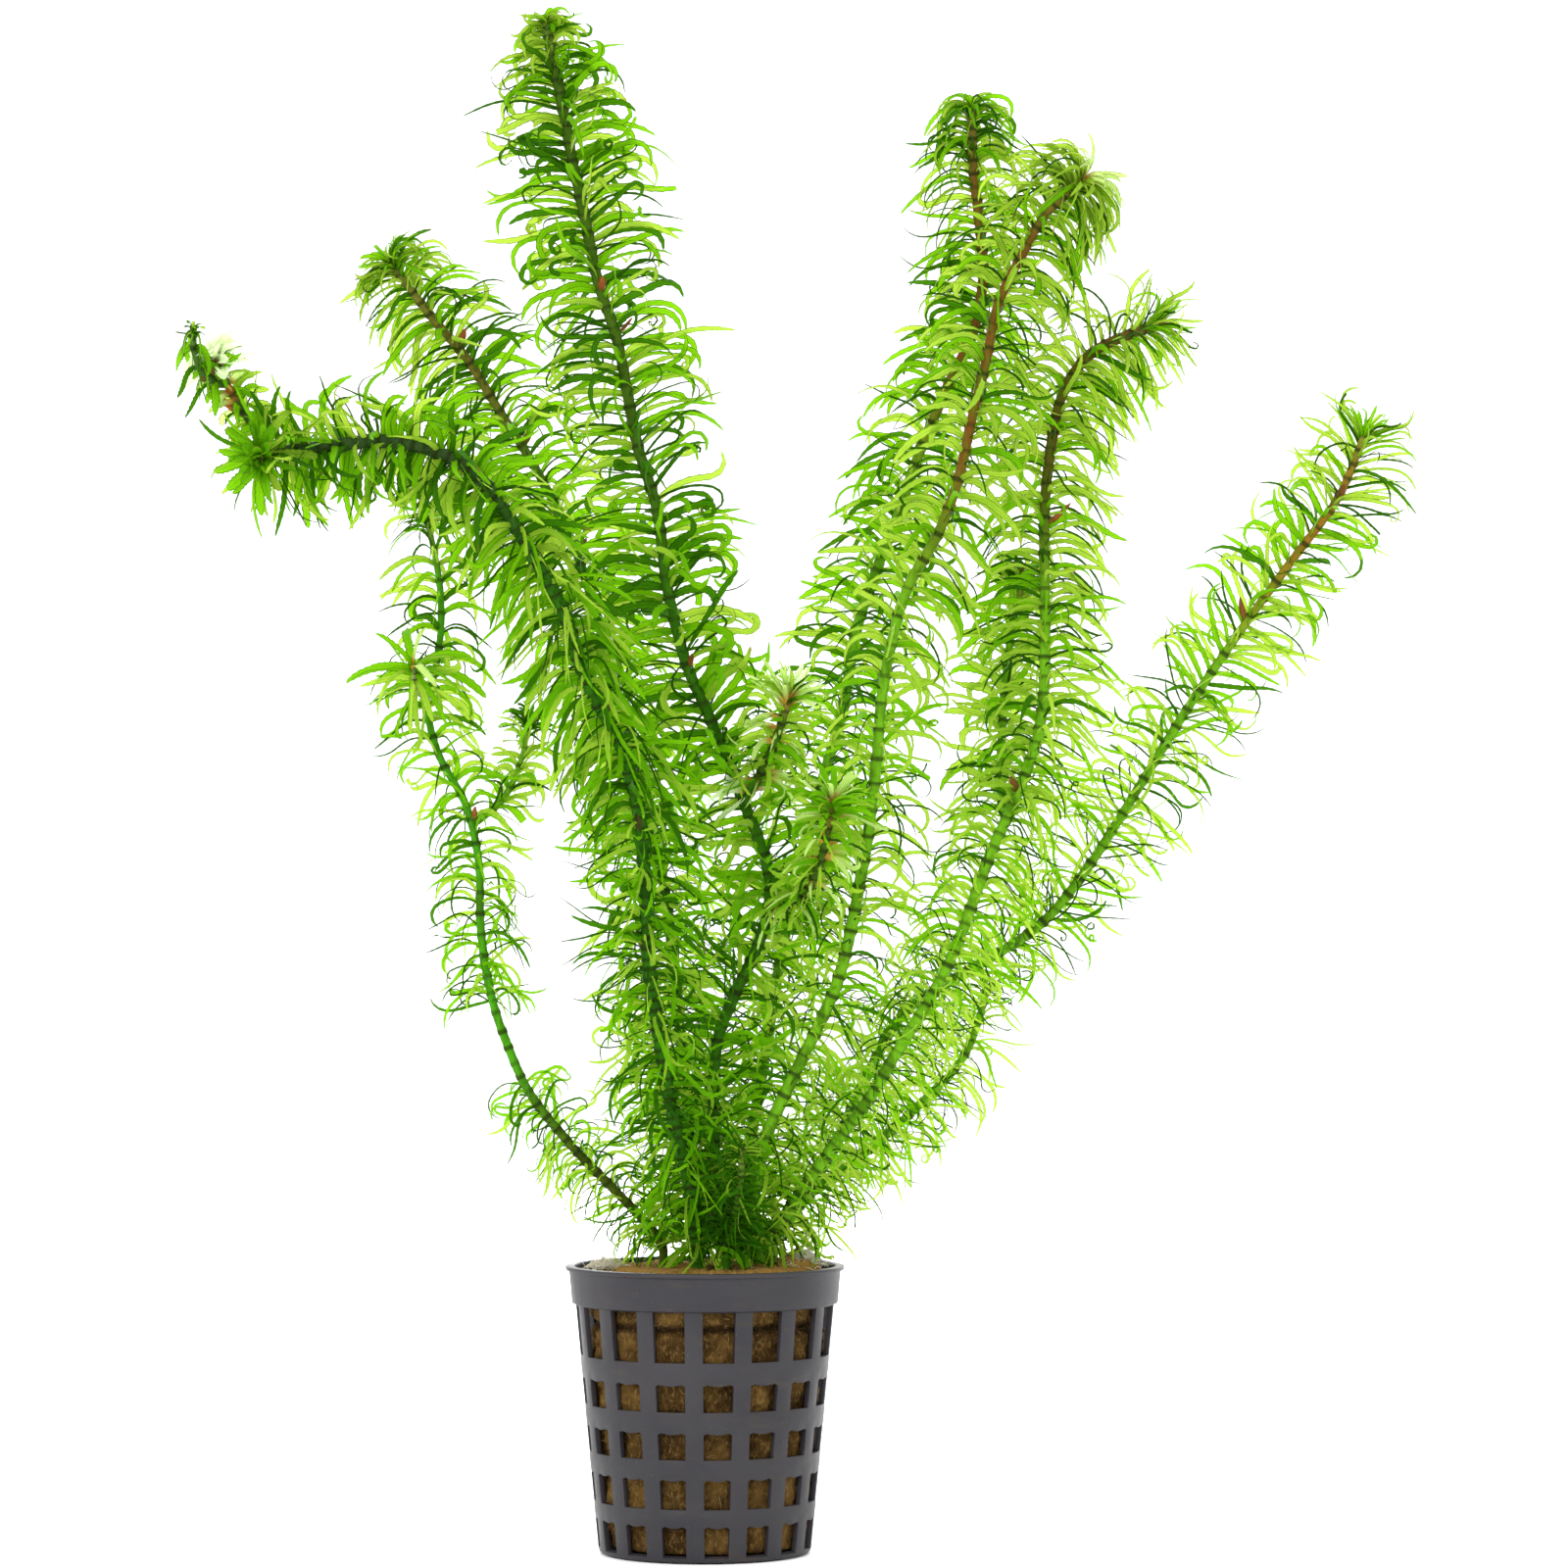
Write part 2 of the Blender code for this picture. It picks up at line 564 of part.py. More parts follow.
def choose_leaf(room, shoot, name, index, whorl, outward, size):
    """Return the tip of a leaf that finds room, or None."""
    foot = whorl.centre + outward * (size * math.sqrt(0.5))
    youth = max(0.0, 1.0 - whorl.to_tip / YOUNG_STRETCH)
    length = shoot.leaf * MM * (1.0 + (shoot.tip_leaf - 1.0) * youth)
    spread = shoot.spread + (shoot.tip_spread - shoot.spread) * youth
    ignored = {(name, index, "leaf")}
    ignored |= {(name, near, "stem") for near in (index - 1, index)}
    for turn, droop_share, length_share in LEAF_CHOICES:
        tip = leaf_tip(foot, whorl.along, outward, length * length_share, spread + turn, shoot.curl,
                       shoot.droop * droop_share)
        if (tip - foot).normalized().dot(outward) < 0.22:
            continue
        rods = list(leaf_rods(foot, tip, 0.5 * size))
        if all(room.is_clear(start, end, radius, ignored) for start, end, radius in rods):
            for start, end, radius in rods:
                room.add(start, end, radius, (name, index, "leaf"))
            return tip
    return None


def stem_ring(shape, centre, whorl, size, turn):
    """Four corners of the stem around a point."""
    up = whorl.along.cross(whorl.side)
    ring = []
    for corner in range(WHORL_LEAVES):
        angle = turn + (corner + 0.5) * math.tau / WHORL_LEAVES
        ring.append(shape.verts.new(
            centre + (whorl.side * math.cos(angle) + up * math.sin(angle)) * size))
    return ring


def straight_joint(shape, lower, upper):
    """Join two rings that stand alike."""
    for corner in range(WHORL_LEAVES):
        after = (corner + 1) % WHORL_LEAVES
        shape.faces.new((lower[corner], lower[after], upper[after], upper[corner]))


def turned_joint(shape, lower, upper):
    """Join two rings of which the upper one is turned by half a step."""
    for corner in range(WHORL_LEAVES):
        after = (corner + 1) % WHORL_LEAVES
        shape.faces.new((lower[corner], lower[after], upper[corner]))
        shape.faces.new((lower[after], upper[after], upper[corner]))


def leafy_joint(shape, lower, upper, tips):
    """Join the two rings of a whorl, with each side drawn out into a leaf where it has a tip."""
    for corner in range(WHORL_LEAVES):
        after = (corner + 1) % WHORL_LEAVES
        outline = (lower[corner], lower[after], upper[after], upper[corner])
        if tips[corner] is None:
            shape.faces.new(outline)
            continue
        point = shape.verts.new(tips[corner])
        for side in range(4):
            shape.faces.new((outline[side], outline[(side + 1) % 4], point))


def plan_shoot(shoot):
    """Work out where the whorls of a shoot stand."""
    curve = smooth_route(shoot)
    length = sum((end - start).length for start, end in zip(curve, curve[1:]))
    first = (FORK_BARE if shoot.parent else FOOT_BARE)
    return walk_route(curve, whorl_stops(length, first), length), curve


def make_shoot(name, shoot, whorls, curve, room, parent):
    """One stem with its leaves as a single closed solid."""
    shape = bmesh.new()
    size = stem_corner_radius(shoot)
    step = math.tau / WHORL_LEAVES
    turn = 0.0
    if shoot.parent:
        start = Whorl(curve[0], whorls[0].along, whorls[0].side, 0.0)
        ring = stem_ring(shape, curve[0], start, size, turn)
        shape.faces.new(ring)
    else:
        upright = Whorl(curve[0], -DOWN, Vector((1.0, 0.0, 0.0)), 0.0)
        foot = Vector((curve[0].x, curve[0].y, STEM_FOOT))
        bottom = stem_ring(shape, foot, upright, size, turn)
        ring = stem_ring(shape, foot + Vector((0.0, 0.0, STEM_EXIT - STEM_FOOT)), upright, size, turn)
        shape.faces.new(bottom)
        straight_joint(shape, bottom, ring)
    for index, whorl in enumerate(whorls):
        turn += step / 2
        young = max(0.0, 1.0 - whorl.to_tip / YOUNG_STRETCH)
        here = size * (1.0 - 0.35 * young)
        half = whorl.along * (LEAF_BASE_HEIGHT / 2)
        lower = stem_ring(shape, whorl.centre - half, whorl, here, turn)
        upper = stem_ring(shape, whorl.centre + half, whorl, here, turn)
        turned_joint(shape, ring, lower)
        tips = []
        up = whorl.along.cross(whorl.side)
        for corner in range(WHORL_LEAVES):
            angle = turn + (corner + 1.0) * step
            outward = whorl.side * math.cos(angle) + up * math.sin(angle)
            tips.append(choose_leaf(room, shoot, name, index, whorl, outward, here))
        leafy_joint(shape, lower, upper, tips)
        ring = upper
    point = shape.verts.new(curve[-1])
    for corner in range(WHORL_LEAVES):
        shape.faces.new((ring[corner], ring[(corner + 1) % WHORL_LEAVES], point))
    bmesh.ops.recalc_face_normals(shape, faces=shape.faces)
    origin = curve[0]
    bmesh.ops.translate(shape, verts=shape.verts, vec=-origin)
    return add_object(name, shape, material(name + "_green", shoot.colour, 0.45), parent, origin)


def reserve_stems(room, plans):
    """Fill the room with all stems first, so that no leaf runs into one."""
    for name, (whorls, curve) in plans.items():
        size = stem_corner_radius(SHOOTS[name])
        stops = [curve[0], *[whorl.centre for whorl in whorls], curve[-1]]
        for index, (start, end) in enumerate(zip(stops, stops[1:])):
            room.add(start, end, size, (name, index - 1, "stem"))
        if not SHOOTS[name].parent:
            room.add(Vector((curve[0].x, curve[0].y, STEM_FOOT)), curve[0], size, (name, -2, "stem"))


def reserve_pot(room):
    """Keep the leaves off the lip and the wool with rods across the top of the pot."""
    radius = LIP_RADIUS
    for corner in range(24):
        start = corner * math.tau / 24
        end = start + math.tau / 24
        height = POT_HEIGHT - 0.5 * MM
        room.add((radius * math.cos(start), radius * math.sin(start), height),
                 (radius * math.cos(end), radius * math.sin(end), height), 1.4 * MM, ("pot", 0, ""))
    for line in range(-9, 10):
        y = line * 2.5 * MM
        half = math.sqrt(max(radius ** 2 - y ** 2, 1e-6))
        room.add((-half, y, WOOL_TOP - 1.0 * MM), (half, y, WOOL_TOP - 1.0 * MM), 2.0 * MM,
                 ("wool", 0, ""))


def main():
    for old in list(bpy.data.objects):
        bpy.data.objects.remove(old, do_unlink=True)
    plant = bpy.data.objects.new("potted_plant", None)
    bpy.context.collection.objects.link(plant)
    make_net_pot(plant)
    make_wool_plug(plant)

    room = Room()
    plans = {name: plan_shoot(shoot) for name, shoot in SHOOTS.items()}
    reserve_pot(room)
    reserve_stems(room, plans)
    made = {"": plant}
    for name, shoot in SHOOTS.items():
        whorls, curve = plans[name]
        made[name] = make_shoot(name, shoot, whorls, curve, room, made[shoot.parent])


main()
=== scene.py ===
"""Potted Egeria najas: the looks of the net pot, the wool and the leafy shoots.

Metres, +Z up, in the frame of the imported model. Routes and leaf sizes are listed in millimetres
and scaled by MM where they are used.
"""

import json
import math
from dataclasses import dataclass

import bpy
import numpy as np
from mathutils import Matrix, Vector, noise

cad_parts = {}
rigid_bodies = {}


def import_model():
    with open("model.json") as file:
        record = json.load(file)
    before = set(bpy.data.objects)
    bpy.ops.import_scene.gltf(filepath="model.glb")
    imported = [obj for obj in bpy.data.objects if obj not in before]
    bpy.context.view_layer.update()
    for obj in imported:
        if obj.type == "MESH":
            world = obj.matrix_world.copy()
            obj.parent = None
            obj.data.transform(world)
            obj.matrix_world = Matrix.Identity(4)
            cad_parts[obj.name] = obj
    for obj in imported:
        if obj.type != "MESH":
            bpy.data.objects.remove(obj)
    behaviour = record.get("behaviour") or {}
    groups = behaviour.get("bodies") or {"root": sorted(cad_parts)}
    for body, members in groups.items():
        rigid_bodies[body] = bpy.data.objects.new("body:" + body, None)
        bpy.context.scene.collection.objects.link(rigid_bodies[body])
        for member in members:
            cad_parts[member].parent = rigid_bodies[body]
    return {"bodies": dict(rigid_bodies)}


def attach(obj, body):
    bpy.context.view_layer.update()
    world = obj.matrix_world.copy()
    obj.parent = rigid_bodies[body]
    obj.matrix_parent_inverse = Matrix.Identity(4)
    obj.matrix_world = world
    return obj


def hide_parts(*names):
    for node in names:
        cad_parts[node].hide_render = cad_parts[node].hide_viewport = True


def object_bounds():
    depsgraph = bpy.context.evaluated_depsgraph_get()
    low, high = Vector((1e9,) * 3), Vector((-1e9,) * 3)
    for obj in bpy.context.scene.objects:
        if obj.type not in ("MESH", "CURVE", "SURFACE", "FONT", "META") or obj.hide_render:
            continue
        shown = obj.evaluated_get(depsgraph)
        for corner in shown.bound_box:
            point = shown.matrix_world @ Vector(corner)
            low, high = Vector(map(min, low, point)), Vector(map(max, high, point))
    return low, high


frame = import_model()
cad_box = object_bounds()
BODY = list(frame["bodies"])[0]

MM = 0.001
SEED = 41
DOWN = np.array((0.0, 0.0, -1.0))
UP = -DOWN
BOX_MARGIN = 0.2 * MM  # between the edges of the leaves and the model's box


# Shader writing


class Wire:
    """A node's output that takes part in Python arithmetic by adding Math nodes."""

    def __init__(self, finish, socket):
        self.finish = finish
        self.socket = socket

    def maths(self, operation, first, second):
        return self.finish.node("ShaderNodeMath", {"operation": operation}, {0: first, 1: second})

    def __add__(self, other):
        return self.maths("ADD", self, other)

    def __radd__(self, other):
        return self.maths("ADD", other, self)

    def __sub__(self, other):
        return self.maths("SUBTRACT", self, other)

    def __rsub__(self, other):
        return self.maths("SUBTRACT", other, self)

    def __mul__(self, other):
        return self.maths("MULTIPLY", self, other)

    def __rmul__(self, other):
        return self.maths("MULTIPLY", other, self)

    def __pow__(self, other):
        return self.maths("POWER", self, other)


class Finish:
    """A material while it is being written, with a Principled shader at its end."""

    def __init__(self, name):
        self.material = bpy.data.materials.new(name)
        self.material.use_nodes = True
        self.tree = self.material.node_tree
        self.surface = self.tree.nodes["Principled BSDF"]

    def plug(self, socket, value):
        if isinstance(value, Wire):
            self.tree.links.new(value.socket, socket)
        elif isinstance(value, tuple) and len(value) == 3 and socket.type == "RGBA":
            socket.default_value = (*value, 1.0)
        else:
            socket.default_value = value

    def node(self, kind, settings=None, sockets=None, output=0):
        """Add a node: its settings come first, then the values or wires of its sockets."""
        made = self.tree.nodes.new(kind)
        for name, value in (settings or {}).items():
            setattr(made, name, value)
        for name, value in (sockets or {}).items():
            self.plug(made.inputs[name], value)
        return Wire(self, made.outputs[output])

    def mix(self, factor, first, second):
        """Blend two colours."""
        sockets = {0: factor, 6: first, 7: second}
        return self.node("ShaderNodeMix", {"data_type": "RGBA"}, sockets, 2)

    def smooth(self, value, low, high):
        """Rise from 0 to 1 between two values."""
        settings = {"interpolation_type": "SMOOTHSTEP"}
        return self.node("ShaderNodeMapRange", settings, {"Value": value, 1: low, 2: high})

    def grain(self, scale, detail=4.0, roughness=0.55, stretch=(1.0, 1.0, 1.0)):
        """Noise on the object's own coordinates, with the features stretched along the axes."""
        place = self.node("ShaderNodeTexCoord", output=3)
        place = self.node("ShaderNodeVectorMath", {"operation": "MULTIPLY"}, {0: place, 1: stretch})
        sockets = {"Vector": place, "Scale": scale, "Detail": detail, "Roughness": roughness}
        return self.node("ShaderNodeTexNoise", None, sockets)

    def height(self):
        """Height above the ground, in metres."""
        place = self.node("ShaderNodeTexCoord", output=3)
        return self.node("ShaderNodeSeparateXYZ", None, {"Vector": place}, 2)

    def marks(self):
        """The four masks that the mesh of a shoot or a bud carries.

        Place along it; edge of a leaf, node of a stem or redness of a bud; chance; and youth.
        """
        names = {"attribute_name": "marks"}
        colour = self.node("ShaderNodeAttribute", names)
        youth = self.node("ShaderNodeAttribute", names, output=3)
        split = [self.node("ShaderNodeSeparateColor", None, {"Color": colour}, k) for k in range(3)]
        return (*split, youth)

    def bump(self, height, strength, distance):
        sockets = {"Height": height, "Strength": strength, "Distance": distance}
        self.set(Normal=self.node("ShaderNodeBump", None, sockets))

    def set(self, **sockets):
        for name, value in sockets.items():
            self.plug(self.surface.inputs[name.replace("_", " ")], value)

    def glow(self, share, colour):
        """Let light through from behind: blend the surface with a translucent shader."""
        behind = self.node("ShaderNodeBsdfTranslucent", None, {"Color": colour})
        front = Wire(self, self.surface.outputs[0])
        both = self.node("ShaderNodeMixShader", None, {0: share, 1: front, 2: behind})
        self.tree.links.new(both.socket, self.tree.nodes["Material Output"].inputs["Surface"])


# Mesh helpers


def mesh_piece(name, points, faces, materials, slots=None, marks=None):
    """Make a smooth piece from arrays of corners and of four-cornered faces."""
    mesh = bpy.data.meshes.new(name)
    points = np.asarray(points, dtype=np.float32).reshape(-1, 3)
    faces = np.asarray(faces, dtype=np.int32).reshape(-1, 4)
    mesh.vertices.add(len(points))
    mesh.vertices.foreach_set("co", points.ravel())
    mesh.loops.add(faces.size)
    mesh.loops.foreach_set("vertex_index", faces.ravel())
    mesh.polygons.add(len(faces))
    mesh.polygons.foreach_set("loop_start", np.arange(0, faces.size, 4, dtype=np.int32))
    mesh.polygons.foreach_set("use_smooth", np.ones(len(faces), dtype=bool))
    for material in materials:
        mesh.materials.append(material)
    if slots is not None:
        mesh.polygons.foreach_set("material_index", np.asarray(slots, dtype=np.int32))
    if marks is not None:
        layer = mesh.color_attributes.new("marks", "FLOAT_COLOR", "POINT")
        layer.data.foreach_set("color", np.asarray(marks, dtype=np.float32).ravel())
    mesh.update(calc_edges=True)
    piece = bpy.data.objects.new(name, mesh)
    bpy.context.collection.objects.link(piece)
    return piece


def tube_faces(rings, sides, first=0):
    """Faces of a tube whose corners are listed ring by ring."""
    ring = np.arange(rings - 1)[:, None]
    side = np.arange(sides)[None, :]
    after = (side + 1) % sides
    low = first + ring * sides
    high = low + sides
    return np.stack([low + side, low + after, high + after, high + side], axis=-1).reshape(-1, 4)


def unit(vectors):
    """Vectors of length 1, along the last axis of an array."""
    return vectors / np.maximum(np.linalg.norm(vectors, axis=-1, keepdims=True), 1e-9)


def turned(vectors, axes, angles):
    """Turn vectors about unit axes that stand square to them."""
    angles = np.asarray(angles)[..., None]
    return vectors * np.cos(angles) + np.cross(axes, vectors) * np.sin(angles)


def rise(value, low, high):
    """Rise smoothly from 0 to 1 between two values."""
    t = np.clip((value - low) / (high - low), 0.0, 1.0)
    return t * t * (3.0 - 2.0 * t)


def scaled(colour, factor):
    """A colour made lighter or darker by a factor."""
    return tuple(factor * value for value in colour)


# The shoots


@dataclass
class Shoot:
    """One stem: its route and thickness, and the habit and colours of its leaves.

    Lengths are in millimetres, angles in degrees and colours in linear light.
    """

    node: str
    route: list
    stem: float  # radius
    leaf: float  # length of a full leaf
    width: float  # width of a full leaf
    spread: float  # between the stem and the foot of a leaf
    curl: float  # how far a leaf bends back by its tip
    droop: float  # how much a leaf hangs
    tones: dict  # share of the leaves that has each blade finish
    stem_low: tuple  # colours of the stem's lower and upper stretch
    stem_top: tuple
    turns_at: float = 0.6  # share of the stem's length where its colour changes
    joined_at: tuple = ()  # point in the stem that a side shoot grows from

    slimming: float = 0.32  # share of the stem's radius that is lost between its foot and its tip
    spacing: float = 3.9  # between two whorls
    thinning: float = 0.55  # how much closer the whorls are at the top than at the foot
    pressed: float = 0.35  # how much the leaves that point to the front or the back turn aside
    hooks: float = 42.0  # about how far the ends of the leaves hook
    rising_hooks: float = 0.25  # share of the leaves whose ends hook upwards

    # Stretches with a habit of their own
    upper_leaf: float = 1.0  # length of the leaves above the change of colour, as a share
    upper_width: float = 1.0  # width of the same leaves, as a share
    ruffle: float = 0.0  # extra disorder in the curl of the same leaves
    hanging: tuple = ()  # heights where the leaves start to hang, hang most, hang less and stop
    bare: tuple = ()  # heights between which the stem has lost its leaves
    pale_foot: float = 0.0  # length of the foot whose leaves are pale and wide

    # The young growth below the tip
    young: float = 20.0  # its length
    tip_leaf: float = 0.6  # length of its last leaves, as a share of a full leaf
    tip_spread: float = 28.0
    tip_curl: float = 50.0
    tip_spacing: float = 1.9

    # The dense tuft at the end
    crown: int = 26  # number of its leaves
    crown_leaf: float = 6.5
    crown_spread: float = 60.0
    crown_width: float = 0.65  # share of a full leaf's width
    crown_depth: float = 2.6  # length of stem that carries it
    crown_inner: float = 0.35  # how much shorter its innermost leaves are
    crown_tone: str = "deep_blade"
    crown_heart: str = ""  # finish of its innermost leaves, where they have one of their own


GREEN_STEM = (0.032, 0.128, 0.004)
BRIGHT_STEM = (0.125, 0.330, 0.010)
RED_STEM = (0.130, 0.045, 0.008)
# Shares of the leaf finishes for a shoot: more deep leaves where a shoot looks shaded, more lime
# ones where it looks backlit; partly leaf colour, partly painted light and shade
BRIGHT = {"lime_blade": 0.72, "grass_blade": 0.26, "deep_blade": 0.02}
MIXED = {"lime_blade": 0.30, "grass_blade": 0.46, "deep_blade": 0.24}
SHADED = {"lime_blade": 0.20, "grass_blade": 0.50, "deep_blade": 0.30}
TENDER = {"lime_blade": 0.50, "grass_blade": 0.25, "fan_blade": 0.25}

# The two short forks of the tall shoot
TALL_FORK = {
    "stem": 0.9, "leaf": 9, "width": 1.0, "spread": 64, "curl": 60, "droop": 0.3, "spacing": 2.0,
    "hooks": 60.0, "young": 8, "tip_leaf": 0.95, "tip_spread": 36, "tip_spacing": 1.2,
    "crown_depth": 3.0, "tones": TENDER, "stem_low": (0.055, 0.110, 0.010), "turns_at": 0.86,
}

